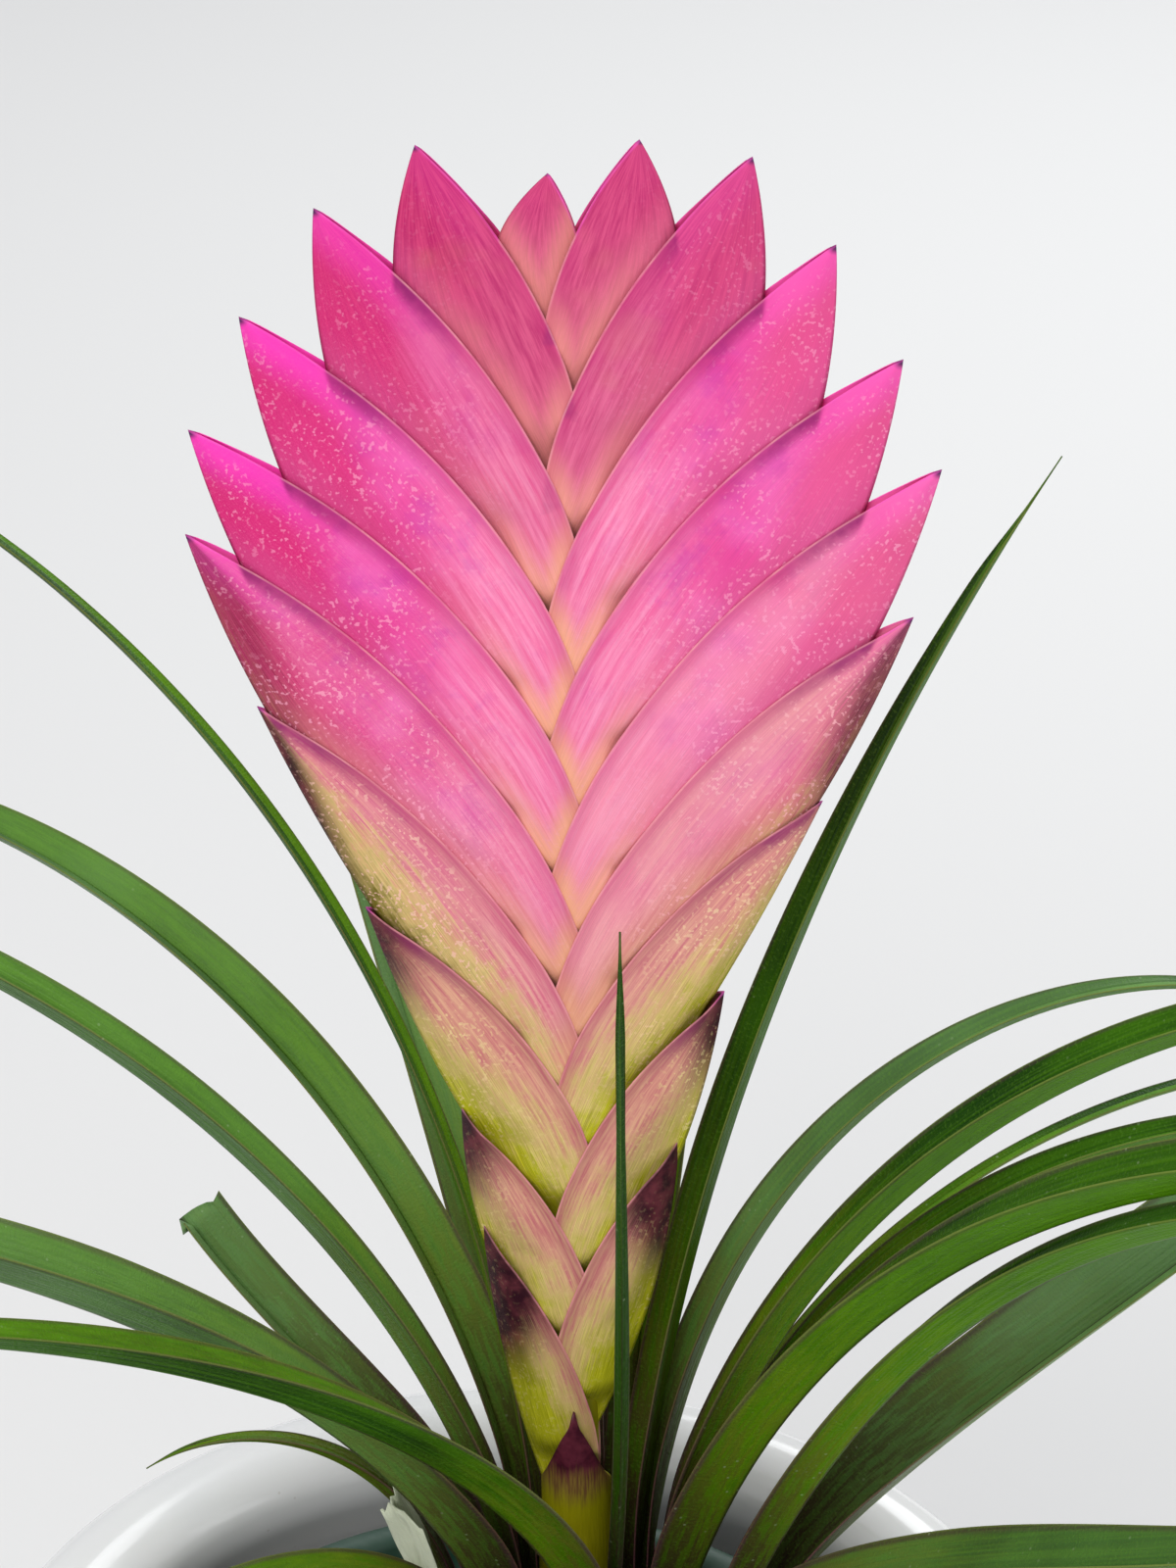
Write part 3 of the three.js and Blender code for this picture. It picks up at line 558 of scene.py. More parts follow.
    scales = f.step(f.cloud(place, 2300.0, 1.0, 0.5), 0.58, 0.67)
    patches = f.step(f.cloud(place, 150.0, 2.0, 0.5), 0.34, 0.6, 0.15, 1.0)
    spread = f.times(f.step(out, 2.0, 14.0, 0.25, 1.0), f.step(rank, 17.0, 11.0, 0.1, 1.0))
    spread = f.times(spread, f.times(f.step(edge, 0.5, 2.0), patches))
    pale = f.shade(rank, 3.0, 9.0, (244, 222, 158), (255, 168, 204))
    opacity = f.times(spread, f.step(rank, 10.0, 6.0, 0.55, 0.8))
    opacity = f.times(opacity, f.step(dark, 0.2, 1.0, 1.0, 0.35))
    f.paint(f.times(scales, opacity), pale)

    # A thin line along each margin is a painted highlight: pale where a bract lies behind, magenta where
    # none does.
    line = f.times(f.step(edge, 0.26, 0.08), f.step(mottle, 0.3, 0.7, 0.3, 0.85))
    line_tone = f.shade(behind, -0.3, 0.2, (250, 96, 196), (250, 170, 176))
    f.paint(f.times(line, 0.7), line_tone)
    # Right at the margin of the bract in front the skin is a little darker: a painted contact shadow. The
    # value also wobbles with the fibres.
    painted_contact_shadow = f.step(free, 0.4, 0.0, 1.0, 0.94)
    light = f.plus(painted_contact_shadow, f.wobble(fibres, 0.3))
    f.skin = f.node("ShaderNodeHueSaturation", {"Color": f.skin, "Value": light})

    relief = f.plus(f.times(fibres, 0.7), f.times(mottle, 0.3))
    normal = f.bump(relief, 0.2, 0.0004)
    rough = f.step(mottle, 0.3, 0.7, 0.45, 0.58)
    return f.set(colour=f.skin, rough=rough, normal=normal, specular=0.12)


bract_skin = bract_finish()
print("finish:", bract_skin.name)

# %% [markdown]
# ## How green, dusky or maroon a bract is
# These tables are read up the head, lowest bract first: how strong each tint is, how far in the green
# spreads and how far up the maroon starts. The green lies along the keel and widens towards the foot, the
# maroon starts at the tip and runs down the keel, and the dusky pink fills the rest.

# %% Tints of the low bracts
GREEN = [1, 1, 1, 1, 1, 1, 1, 0.5, 0.4]
GREEN_SPREAD = [0.8, 0.6, 0.5, 0.52, 0.46, 0.46, 0.42, 0.2, 0.1]
DUSK = [1, 1, 1, 1, 1, 0.85, 0.6, 0.3, 0.15]
MAROON = [1, 1, 0.85, 1, 0.85, 0.75, 0.75, 0.6, 0.52]
MAROON_START = [0.45, 0.5, 0.6, 0.68, 0.64, 0.84, 0.76, 0.66, 0.58]


def tint(table, rank):
    return table[rank] if rank < len(table) else 0


def low_tints(rank, share, t):
    spread = tint(GREEN_SPREAD, rank) + (1.3 if rank < 6 else 0.4) * (0.45 - t)
    green = tint(GREEN, rank) * np.clip(0.5 + 1.1 * (spread - share), 0, 1.2)
    start = tint(MAROON_START, rank)
    from_tip = (t - start) / 0.3 + (0.5 - share) * (0.6 if rank < 6 else 2.2)
    maroon = tint(MAROON, rank) * np.clip(from_tip, 0, 1.2) * ease_all(t, 0.1, 0.5)
    return {"green": green, "dusk": np.full_like(t, tint(DUSK, rank)), "maroon": maroon}


print("bracts with some green:", len(GREEN))

# %% [markdown]
# ## Modelling the bracts
# Each bract could be cut from a solid, but the real thing is a leaf-thin sheet folded once, and its open
# side shows from above. So one grid goes from the front margin over the keel to the back margin, is bent
# to the fold, and a Solidify modifier gives it its thickness, inwards from the outer face.

# %% Bracts
BRACT_COLUMNS, BRACT_ROWS = 60, 68
BRACT_WALL = 0.09 * MM


def bract_piece(rank):
    side = BRACTS[rank][0]
    shape = bmesh.new()
    bmesh.ops.create_grid(shape, x_segments=BRACT_COLUMNS, y_segments=BRACT_ROWS, size=0.5)
    across = np.array([point.co.x + 0.5 for point in shape.verts])
    t = np.clip([point.co.y + 0.5 for point in shape.verts], 0, 1)
    share = 1 - np.clip(1 - np.abs(2 * across - 1), 0, 1) ** 1.15
    out, z = bract_point(rank, share, t)
    x = spike_axis(z) + side * out
    flat, again = np.unique(np.column_stack([x, z]).round(4), axis=0, return_inverse=True)
    inside = inside_all(flat)[:, again.ravel()]
    keel, margin = bract_edges(rank, t)
    half = bract_half_thickness(rank, out, z, t, (margin - keel) * share, share, inside)
    y = np.where(across < 0.5, -half, half)

    nobody = np.full((2, len(t)), FAR_OUTSIDE)
    behind = np.sort(np.vstack([nobody, inside[rank + 1 :]]), axis=0)
    over = np.vstack([nobody, inside[:rank]]).max(axis=0)
    numbers = {"share": share, "along": t, "rank": np.full_like(t, rank), "out": out}
    numbers |= {"edge_mm": (margin - keel) * (1 - share), "free_mm": -over}
    numbers |= {"behind_mm": behind[-1], "second_mm": behind[-2]}
    numbers |= low_tints(rank, share, t)
    layers = {key: shape.verts.layers.float.new(key) for key in POINT_NUMBERS}
    for index, point in enumerate(shape.verts):
        point.co = Vector((PLANT_X + x[index], PLANT_Y + y[index], z[index])) * MM
        for key, layer in layers.items():
            point[layer] = float(numbers[key][index])
    bmesh.ops.remove_doubles(shape, verts=shape.verts, dist=0.01 * MM)
    if side > 0:
        bmesh.ops.reverse_faces(shape, faces=shape.faces)
    piece = new_piece(f"bract_{rank:02d}", shape, bract_skin, "flower_head")
    return thicken(piece, BRACT_WALL)


bracts = [bract_piece(rank) for rank in range(RANKS)]
print("bract pieces:", len(bracts), "faces each about", len(bracts[0].data.polygons))

# %% [markdown]
# ## The leaves
# A leaf of this plant is a long strap folded along its middle into a deep channel, so its two halves catch
# the light differently. Its base is part of a ring round the stem, and it stands up, leans out and arches
# over. The table gives each leaf's azimuth, how far it turns on the way, its lean at the foot, middle and
# tip, its length and its flat width, innermost first. A leaf is seated as far in as the ones inside it
# allow. Walking along the path in small steps and laying the cross-section over it gives the same form as
# the solid, only finer.

# %% Leaf table
LEAF_FOOT, LEAF_THICKNESS, SHEATH_STEP = 88.6, 0.7, 1.05
FIRST_SHEATH_RADIUS, SHEATH_HALF_ARC, SHEATH_OPENS, SHEATH_ENDS = 5.2, 23.0, 2, 16.0 * 2.2
CHANNEL_ANGLE, POINT_START = 46.0, 0.45
LEAVES = [
    ("front_quill", 284, -16, (12, 24, 7), 135, 2.2),
    ("right_quill", 24, -5, (0, 17, 34), 151, 7.2),
    ("left_quill", 146, 15, (2, 32, 93), 198, 3.2),
    ("back_quill", 70, 8, (2, 12, 12), 84, 2.4),
    ("right_back", 33, -25, (4, 33, 119), 128, 7.4),
    ("back_high", 96, 0, (4, 40, 98), 180, 7.5),
    ("left_high", 188, -6, (2, 47, 95), 190, 8),
    ("left_back", 135, 17, (1, 54, 118), 170, 10),
    ("right_long", 0, -17, (2, 48, 116), 182, 9.6),
    ("back_left", 113, 2, (9, 42, 46), 107, 8.6),
    ("right_front", 329, -3, (5, 53, 114), 195, 12.4),
    ("right_mid", 14, -23, (3, 48, 118), 140, 6.6),
    ("left_front", 214, -11, (5, 56, 61), 188, 13.4),
    ("right_thin", 42, -19, (0, 76, 119), 158, 3),
    ("left_cut", 146, 7, (3, 48, 40), 66, 10.4),
    ("back_right", 74, 6, (6, 54, 108), 165, 8),
    ("front_left", 277, -60, (17, 48, 75), 176, 9),
    ("right_under", 342, -23, (16, 43, 100), 159, 9.2),
    ("back_low", 104, 4, (10, 64, 112), 150, 8.6),
    ("right_broad", 2, 27, (17, 63, 4), 161, 16),
    ("left_small", 177, 16, (14, 32, 119), 62, 4.6),
    ("right_low", 301, 14, (15, 58, 38), 152, 15),
    ("front_a", 238, 0, (14, 70, 108), 160, 10),
    ("front_b", 254, 0, (16, 76, 106), 150, 9.6),
    ("front_c", 278, 0, (16, 80, 108), 158, 9),
    ("front_d", 322, -4, (16, 82, 112), 140, 9.6),
    ("dry", 199, 0, (13, 18, 22), 38, 8),
]
CUT_LEAF, DRY_LEAF = "left_cut", "dry"
CUT_DEPTH, TEAR_DEPTH, TEAR_WAVE, CRUMPLE = 1.6, 4.0, 2.4, 1.6
CRUMPLE_SEED = 3
noise.seed_set(CRUMPLE_SEED)


def angle_between(a, b):
    apart = abs(a - b) % 360
    return min(apart, 360 - apart)


def seat_radii():
    seated = {}
    for name, azimuth, *_ in LEAVES:
        inside = [r for a, r in seated.values() if angle_between(a, azimuth) < 2 * SHEATH_HALF_ARC]
        seated[name] = (azimuth, max([FIRST_SHEATH_RADIUS] + [r + SHEATH_STEP for r in inside]))
    return {name: radius for name, (_, radius) in seated.items()}


seats = seat_radii()
print("seats from", min(seats.values()), "to", round(max(seats.values()), 2), "mm")


# %% [markdown]
# ## The path of a leaf
# The lean changes along the leaf as a curve through its three given leans, and most of the turn happens
# near the foot. The path is added up from short straight steps, as one would bend a wire. The width
# stays even to near the middle of the leaf and then runs out into a thin point.


# %% Leaf path
PATH_STEPS = 120


def lean_at(leans, s):
    foot, middle, tip = leans
    return foot * (1 - s) * (1 - 2 * s) + 4 * middle * s * (1 - s) + tip * s * (2 * s - 1)


def heading_at(leaf, s):
    _, azimuth, turn, leans, *_ = leaf
    lean = math.radians(lean_at(leans, s))
    way = math.radians(azimuth + turn * (1 - (1 - s) ** 3))
    along = Vector((math.sin(lean) * math.cos(way), math.sin(lean) * math.sin(way), math.cos(lean)))
    return along, Vector((-math.sin(way), math.cos(way), 0))


def leaf_path(leaf):
    azimuth, radius = math.radians(leaf[1]), seats[leaf[0]]
    at = Vector((radius * math.cos(azimuth), radius * math.sin(azimuth), LEAF_FOOT))
    path = [at.copy()]
    for step in range(PATH_STEPS):
        along, _ = heading_at(leaf, (step + 0.5) / PATH_STEPS)
        at += along * (leaf[4] / PATH_STEPS)
        path.append(at.copy())
    return path


def half_width_at(leaf, s):
    if leaf[0] in (CUT_LEAF, DRY_LEAF):
        return leaf[5] / 2
    past = clamp((s - POINT_START) / (1 - POINT_START))
    return leaf[5] / 2 * lerp(1, 0.1, past**1.6) * (1 - 0.85 * ease(s, 0.9, 1.0))


print("first leaf's tip height:", round(leaf_path(LEAVES[0])[-1].z, 1), "mm")

# %% [markdown]
# ## The finish of the leaves
# The leaves are deep green and brighter towards the base. Towards their feet they turn almost black,
# partly their own purple-brown and partly painted shade where the leaves crowd together, and purple-brown
# streaks cloud them. Fine ribs run from end to end, and the margins are thin pale lines, a painted
# highlight that turns to the leaf's own purple near the base, with a darker one beside them. One half of
# the channel
# is a little paler than the other: painted light on the half that the lamps catch. The colour differs from
# leaf to leaf. A number on the points, the sheen, gives some leaves a grey-green painted sheen of reflected
# light, and where it is negative it makes the leaf darker.


# %% Leaf finish
def leaf_finish():
    f = Finish("leaf_skin")
    leaf_numbers = ("share", "reach", "across_mm", "leaf_number", "sheen", "facet")
    share, reach, across, leaf_number, sheen, facet = map(f.attribute, leaf_numbers)
    place = f.place()
    lanes = f.lanes(across, 2.6, reach, 0.03, leaf_number)
    ribs = f.cloud(lanes, 1.0, 2.0, 0.5)
    flecks_place = f.lanes(across, 1.3, reach, 0.16, leaf_number)
    flecks = f.cloud(flecks_place, 1.0, 4.0, 0.7)
    drift = f.cloud(place, 45.0, 3.0, 0.5)
    each = f.node("ShaderNodeTexWhiteNoise", {"W": leaf_number}, noise_dimensions="1D")

    deep = f.blend(each, (10, 46, 0), (24, 64, 0))
    f.skin = f.shade(drift, 0.38, 0.62, deep, (44, 92, 0))
    f.paint(f.times(f.step(ribs, 0.35, 0.7), 0.36), (84, 138, 6))
    # One half of the channel is painted paler than the other: painted light on the half that the lamps
    # catch.
    painted_light_half = f.times(f.step(facet, -0.06, 0.06), f.step(flecks, 0.25, 0.7, 0.35, 0.75))
    f.paint(painted_light_half, (96, 152, 14))
    base = f.shade(flecks, 0.35, 0.65, (92, 138, 0), (142, 160, 12))
    f.paint(f.times(f.step(reach, 88.0, 24.0), 0.8), base)
    # A grey-green painted sheen of reflected light away from the foot, as strong as each leaf's sheen
    # number.
    painted_sheen = f.times(sheen, f.step(reach, 18.0, 60.0, 0.2, 0.85))
    painted_sheen = f.times(painted_sheen, f.step(drift, 0.25, 0.75, 0.5, 1.0))
    f.paint(painted_sheen, (116, 152, 100))
    f.paint(f.step(sheen, 0.0, -1.0), (26, 60, 0))
    blotch = f.plus(flecks, f.wobble(share, 0.14))
    stain = f.times(f.step(blotch, 0.406, 0.566), f.step(reach, 76.0, 16.0))
    f.paint(f.times(stain, 0.8), (60, 20, 34))
    # Towards the feet the leaves turn almost black: partly their own purple-brown, partly painted shade
    # where they crowd together.
    f.paint(f.times(f.step(reach, 56.0, 14.0), 0.88), (34, 14, 22))
    rim_dark = f.times(f.step(share, 0.87, 0.95), f.step(reach, 140.0, 20.0, 0.3, 0.75))
    f.paint(rim_dark, (78, 52, 58))
    # The thin pale line along the margin is a painted highlight; near the base it turns to the leaf's own
    # purple.
    edge_tone = f.shade(reach, 70.0, 20.0, (128, 142, 66), (120, 70, 78))
    f.paint(f.times(f.step(share, 0.965, 0.99), 0.5), edge_tone)
    crease = f.shade(reach, 120.0, 80.0, (104, 136, 56), (52, 30, 34))
    crease_share = f.times(f.step(share, 0.1, 0.03), f.step(flecks, 0.3, 0.6, 0.35, 0.85))
    f.paint(crease_share, crease)
    specks = f.times(f.dots(place, 700.0, 0.13, 0.4), f.step(drift, 0.45, 0.65, 0.0, 0.3))
    f.paint(specks, (190, 206, 170))

    cross_place = f.lanes(across, 2.4, reach, 3.4, leaf_number)
    ticks = f.cloud(cross_place, 1.0, 2.0, 0.6)
    f.paint(f.times(f.step(ticks, 0.52, 0.7), 0.22), (104, 156, 50))
    relief = f.plus(f.times(ribs, 0.6), f.times(ticks, 0.4))
    normal = f.bump(relief, 0.6, 0.0005)
    rough = f.step(flecks, 0.3, 0.7, 0.34, 0.5)
    return f.set(colour=f.skin, rough=rough, normal=normal, specular=0.1)


leaf_skin = leaf_finish()
print("finish:", leaf_skin.name)

# %% [markdown]
# ## The dry leaf base
# One old leaf has dried and torn off. What is left is papery and grey-green, with its fibres showing, and
# almost white at the torn end.


# %% Dry leaf finish
def dry_leaf_finish():
    f = Finish("dry_leaf_paper")
    across, reach = f.attribute("across_mm"), f.attribute("reach")
    lanes = f.lanes(across, 3.0, reach, 0.25)
    fibres = f.cloud(lanes, 1.0, 3.0, 0.65)
    stain = f.cloud(f.place(), 260.0, 3.0, 0.6)
    f.skin = f.shade(fibres, 0.3, 0.7, (104, 114, 72), (166, 174, 136))
    f.paint(f.step(stain, 0.5, 0.75), (80, 90, 52))
    f.paint(f.step(f.attribute("along"), 0.6, 0.9), (206, 212, 188))
    normal = f.bump(fibres, 0.6, 0.0006)
    return f.set(colour=f.skin, rough=0.75, normal=normal, specular=0.25)


dry_leaf_paper = dry_leaf_finish()
print("finish:", dry_leaf_paper.name)

# %% [markdown]
# ## Modelling the leaves
# A curve with a bevel profile could make a strap, but it can't open into a sheath at its foot. A grid can:
# near the foot its cross-section is part of the ring round the stem, and within a few centimetres it turns
# into the channel. The channel's middle is rounded here, where the solid's is a crease. A vertex group
# tells the Solidify modifier to thin the wall towards the margins and the tip, as on the real blade. The
# dry leaf is crumpled by a noise, whose seed is set with the table so that each run gives the same leaf.

# %% Leaves
LEAF_COLUMNS, LEAF_ROWS, DRY_ROWS = 18, 96, 30
THIN_FROM, MARGIN_THICKNESS, DRY_THICKNESS, FOLD_SOFTNESS = 0.9, 0.2, 0.3, 0.003
# How strong each leaf's painted sheen is; a negative number darkens the leaf instead.
SHEEN = {"right_broad": 1.1, "left_cut": 0.9, "back_left": 0.7, "right_back": 0.6, "back_quill": 0.6}
SHEEN |= {"left_front": 0.5, "left_back": 0.5, "back_high": 0.4, "left_high": 0.35, "right_low": 0.3}
SHEEN |= {"front_quill": -0.8, "right_quill": -0.4}


def leaf_piece(number, leaf):
    name, length, radius = leaf[0], leaf[4], seats[leaf[0]]
    path = leaf_path(leaf)
    channel = math.radians(CHANNEL_ANGLE)
    rows = DRY_ROWS if name == DRY_LEAF else LEAF_ROWS

    def place(across, s):
        share = 2 * across - 1
        step = s * PATH_STEPS
        low = min(int(step), PATH_STEPS - 1)
        at = path[low].lerp(path[low + 1], step - low)
        along, level = heading_at(leaf, s)
        inward = along.cross(level)
        sheath = 1 - ease(s * length, SHEATH_OPENS, SHEATH_ENDS)
        half = half_width_at(leaf, s)
        arc = math.radians(SHEATH_HALF_ARC) * share
        soft = math.sqrt(share * share + FOLD_SOFTNESS) - math.sqrt(FOLD_SOFTNESS)
        side = lerp(half * share * math.cos(channel), radius * math.sin(arc), sheath)
        rise = lerp(half * soft * math.sin(channel), radius * (1 - math.cos(arc)), sheath)
        point = at + level * side + inward * rise
        back = 0.0
        if s == 1 and name == CUT_LEAF:
            back = CUT_DEPTH * (1 - share * share)
        if name == DRY_LEAF:
            tear = TEAR_DEPTH * (share + 1) * abs(share - 0.5)
            back = s * (tear + TEAR_WAVE * noise.noise((share * 6, 0, 1)))
            point += noise.noise_vector((share * 2.5, s * 3, 4)) * CRUMPLE * ease(s, 0.1, 0.6)
        point -= along * back
        point += Vector((PLANT_X, PLANT_Y, 0))
        numbers = {"share": abs(share), "along": s, "reach": s * length}
        numbers |= {"across_mm": half * share + 3 * number, "leaf_number": number}
        # The sheen number steers the painted sheen, and the facet number the painted light on one half of
        # the channel.
        numbers |= {"sheen": SHEEN.get(name, 0.0), "facet": -share}
        return point * MM, numbers

    shape = sheet_grid(LEAF_COLUMNS, rows, place)
    bmesh.ops.reverse_faces(shape, faces=shape.faces)
    dry = name == DRY_LEAF
    node = "dry_leaf_base" if dry else "leaf_" + name
    material, slot = (dry_leaf_paper, "dry_leaf") if dry else (leaf_skin, "green_leaf")
    piece = new_piece(node + "_blade", shape, material, node)
    body = piece.vertex_groups.new(name="body")
    shares, alongs = piece.data.attributes["share"].data, piece.data.attributes["along"].data
    for point, share, along in zip(piece.data.vertices, shares, alongs):
        to_tip = 1 if name in (CUT_LEAF, DRY_LEAF) else 1 - ease(along.value, THIN_FROM, 1)
        body.add([point.index], to_tip * (1 - ease(share.value, 0.3, 1)), "REPLACE")
    thicken(piece, (DRY_THICKNESS if dry else LEAF_THICKNESS) * MM, offset=1.0)
    piece.modifiers["wall"].vertex_group = "body"
    piece.modifiers["wall"].thickness_vertex_group = MARGIN_THICKNESS
    return piece


leaves = [leaf_piece(number, leaf) for number, leaf in enumerate(LEAVES)]
print("leaf pieces:", len(leaves))

# %% [markdown]
# ## The stalk and its sheathing bracts
# The short stalk is wrapped in bracts that close round it like a sleeve and end in a point. The lowest one
# that shows is yellow-green with a maroon cap shaped like an onion dome, and a thin thorn at its tip. A
# sleeve is a grid wrapped right round the stalk, whose upper rim is high on the side of the tip and low
# elsewhere. Three bell curves of different widths add up to the dome's outline.


# %% Sheath finish
def sheath_finish():
    f = Finish("sheath_skin")
    turn, below = f.attribute("turn"), f.attribute("below_tip")
    lanes = f.lanes(turn, 84.0, below, 0.22)
    streaks = f.cloud(lanes, 1.0, 3.0, 0.65)
    mottle = f.cloud(f.place(), 600.0, 3.0, 0.6)
    yellow = f.shade(below, 9.0, 24.0, (156, 150, 6), (122, 118, 0))
    yellow = f.blend(f.times(f.step(streaks, 0.4, 0.7), 0.4), yellow, (176, 166, 30))
    uneven = f.plus(below, f.wobble(streaks, 3.2))
    olive = f.shade(streaks, 0.35, 0.65, (112, 74, 48), (148, 122, 54))
    f.skin = f.shade(uneven, 12.4, 9.0, yellow, olive)
    maroon = f.shade(mottle, 0.3, 0.7, (70, 18, 38), (112, 44, 62))
    f.paint(f.step(uneven, 9.4, 6.6), maroon)
    normal = f.bump(streaks, 0.25, 0.0004)
    return f.set(colour=f.skin, rough=0.45, normal=normal, specular=0.3)


sheath_skin = sheath_finish()
print("finish:", sheath_skin.name)

# %% Stalk and sheaths
STALK_RADIUS, STALK_FOOT, STALK_TOP = 2.4, 8.8, 60.0
SHEATHS = [
    {"bottom": 10, "shoulder": 22, "tip": 30, "azimuth": 100, "radius": 3.9},
    {"bottom": 14, "shoulder": 37, "tip": 49.5, "azimuth": 268, "radius": 4.6},
]
SHEATH_DOME = ((0.5, 75), (0.34, 38), (0.16, 6))
SHEATH_COLUMNS, SHEATH_ROWS = 120, 28


def sheath_piece(number, sheath):
    def place(across, share):
        turn = across * 2 * math.pi
        apart = angle_between(math.degrees(turn), sheath["azimuth"])
        dome = sum(part * math.exp(-((apart / wide) ** 2)) for part, wide in SHEATH_DOME)
        top = lerp(sheath["shoulder"], sheath["tip"], dome)
        z = CROWN + lerp(sheath["bottom"], top, share)
        swell = sheath["radius"] * (0.9 + 0.1 * math.sin(math.pi * min(1, share * 1.15)))
        at = Vector((spike_axis(z) + 0.88 * swell * math.cos(turn), 1.04 * swell * math.sin(turn), z))
        numbers = {"turn": across, "below_tip": CROWN + sheath["tip"] - z}
        return (at + Vector((PLANT_X, PLANT_Y, 0))) * MM, numbers

    shape = sheet_grid(SHEATH_COLUMNS, SHEATH_ROWS, place)
    bmesh.ops.remove_doubles(shape, verts=shape.verts, dist=0.005 * MM)
    piece = new_piece(f"stalk_sheath_{number}", shape, sheath_skin, "scape")
    return thicken(piece, 0.4 * MM)


def stalk_piece():
    shape = bmesh.new()
    middle = (CROWN + (STALK_TOP + STALK_FOOT) / 2) * MM
    rod(shape, STALK_RADIUS * MM, (STALK_TOP - STALK_FOOT) * MM, (0, 0, middle), 32)
    values = {key: shape.verts.layers.float.new(key) for key in ("turn", "below_tip")}
    for point in shape.verts:
        point.co.x += (PLANT_X + spike_axis(point.co.z / MM)) * MM
        point.co.y += PLANT_Y * MM
        point[values["below_tip"]] = 30.0
    return new_piece("stalk", shape, sheath_skin, "scape")


sheaths = [sheath_piece(number, sheath) for number, sheath in enumerate(SHEATHS)]
stalk = stalk_piece()
print("sheaths:", len(sheaths))

# %% [markdown]
# ## The pots
# Both pots are round, so each is a profile turned round an axis. The white pot has thick walls and a fat
# rounded lip under a smooth glaze. The nursery pot is thin plastic with a rolled rim.


# %% Turning a profile
def turned(profile, segments=144):
    """A closed shape from a profile of (radius, height) in mm that starts and ends on the axis."""
    shape = bmesh.new()
    points = [shape.verts.new((r * MM, 0, z * MM)) for r, z in profile]
    edges = [shape.edges.new(pair) for pair in zip(points, points[1:])]
    about = {"cent": (0, 0, 0), "axis": (0, 0, 1), "angle": 2 * math.pi}
    bmesh.ops.spin(shape, geom=points + edges, steps=segments, use_merge=True, **about)
    bmesh.ops.remove_doubles(shape, verts=shape.verts, dist=0.002 * MM)
    bmesh.ops.recalc_face_normals(shape, faces=shape.faces)
    return shape


def rounded_top(outer, inner, top, height, steps=14):
    middle, half = (outer + inner) / 2, (outer - inner) / 2
    turns = [math.pi * i / steps for i in range(steps + 1)]
    return [(middle + half * math.cos(t), top - height + height * math.sin(t)) for t in turns]


print("turning ready")

# %% [markdown]
# ## The white glaze
# A glaze is a thin glass over clay: smooth, glossy and never quite even. Its white drifts a little, tiny
# pits break it, and a faint wave in the surface keeps reflections from looking machined.


# %% Cover pot
def glaze_finish():
    f = Finish("white_glaze")
    place = f.place()
    drift = f.cloud(place, 22.0, 3.0, 0.5)
    pits = f.dots(place, 260.0, 0.06, 0.5)
    white = f.shade(drift, 0.3, 0.7, (238, 238, 236), (228, 229, 230))
    white = f.blend(f.times(pits, 0.3), white, (176, 168, 156))
    wave = f.bump(f.cloud(place, 60.0, 2.0, 0.5), 0.12, 0.0008)
    rough = f.step(drift, 0.3, 0.7, 0.14, 0.24)
    return f.set(colour=white, rough=rough, normal=wave, specular=0.5, coat=0.4, coat_rough=0.08)


POT_HEIGHT, POT_RADIUS, POT_FOOT_RADIUS = 97.0, 58.5, 44.0
POT_WALL, LIP_THICKNESS, LIP_DEPTH, POT_FLOOR = 5.0, 12.0, 9.0, 9.0
lip_inner = POT_RADIUS - LIP_THICKNESS
wall_outer = POT_RADIUS - 2.5
low_radius = lerp(POT_FOOT_RADIUS, wall_outer, 0.62)
high_radius = lerp(POT_FOOT_RADIUS, wall_outer, 0.9)
pot_profile = [(0, 0), (POT_FOOT_RADIUS - 1, 0), (POT_FOOT_RADIUS, 0.4), (POT_FOOT_RADIUS + 3, 3)]
pot_profile += [(low_radius, 22), (lerp(low_radius, high_radius, 0.62), 38), (high_radius, 55)]
pot_profile += [(wall_outer, POT_HEIGHT - LIP_DEPTH - 3), (wall_outer + 1.2, POT_HEIGHT - LIP_DEPTH)]
pot_profile += rounded_top(POT_RADIUS, lip_inner, POT_HEIGHT, 5)
pot_profile += [(lip_inner + 0.6, POT_HEIGHT - LIP_DEPTH)]
pot_profile += [(wall_outer - POT_WALL, POT_HEIGHT - LIP_DEPTH - 6)]
pot_profile += [(high_radius - POT_WALL, 55), (low_radius - POT_WALL, 22)]
pot_profile += [(POT_FOOT_RADIUS - 4, POT_FLOOR), (0, POT_FLOOR)]
cover_pot = new_piece("cover_pot_glazed", turned(pot_profile), glaze_finish(), "cover_pot")
print("cover pot", [round(v, 4) for v in cover_pot.dimensions])

# %% [markdown]
# ## The nursery pot
# Growers' pots are blown from thin polypropylene. The surface is satin, with a faint grain from the mould
# and dust in it. Six drain holes go through its floor, cut with a Boolean modifier, as one would drill
# them. The cut mesh then replaces the old one, so that the drills can be deleted.


# %% Nursery pot
def pot_plastic_finish():
    f = Finish("nursery_plastic")
    place = f.place()
    grain = f.cloud(place, 900.0, 2.0, 0.6)
    dust = f.cloud(place, 70.0, 4.0, 0.6)
    green = f.shade(dust, 0.45, 0.75, (20, 62, 46), (62, 84, 72))
    return f.set(colour=green, rough=f.step(dust, 0.3, 0.7, 0.38, 0.55), normal=f.bump(grain, 0.2, 0.0002))


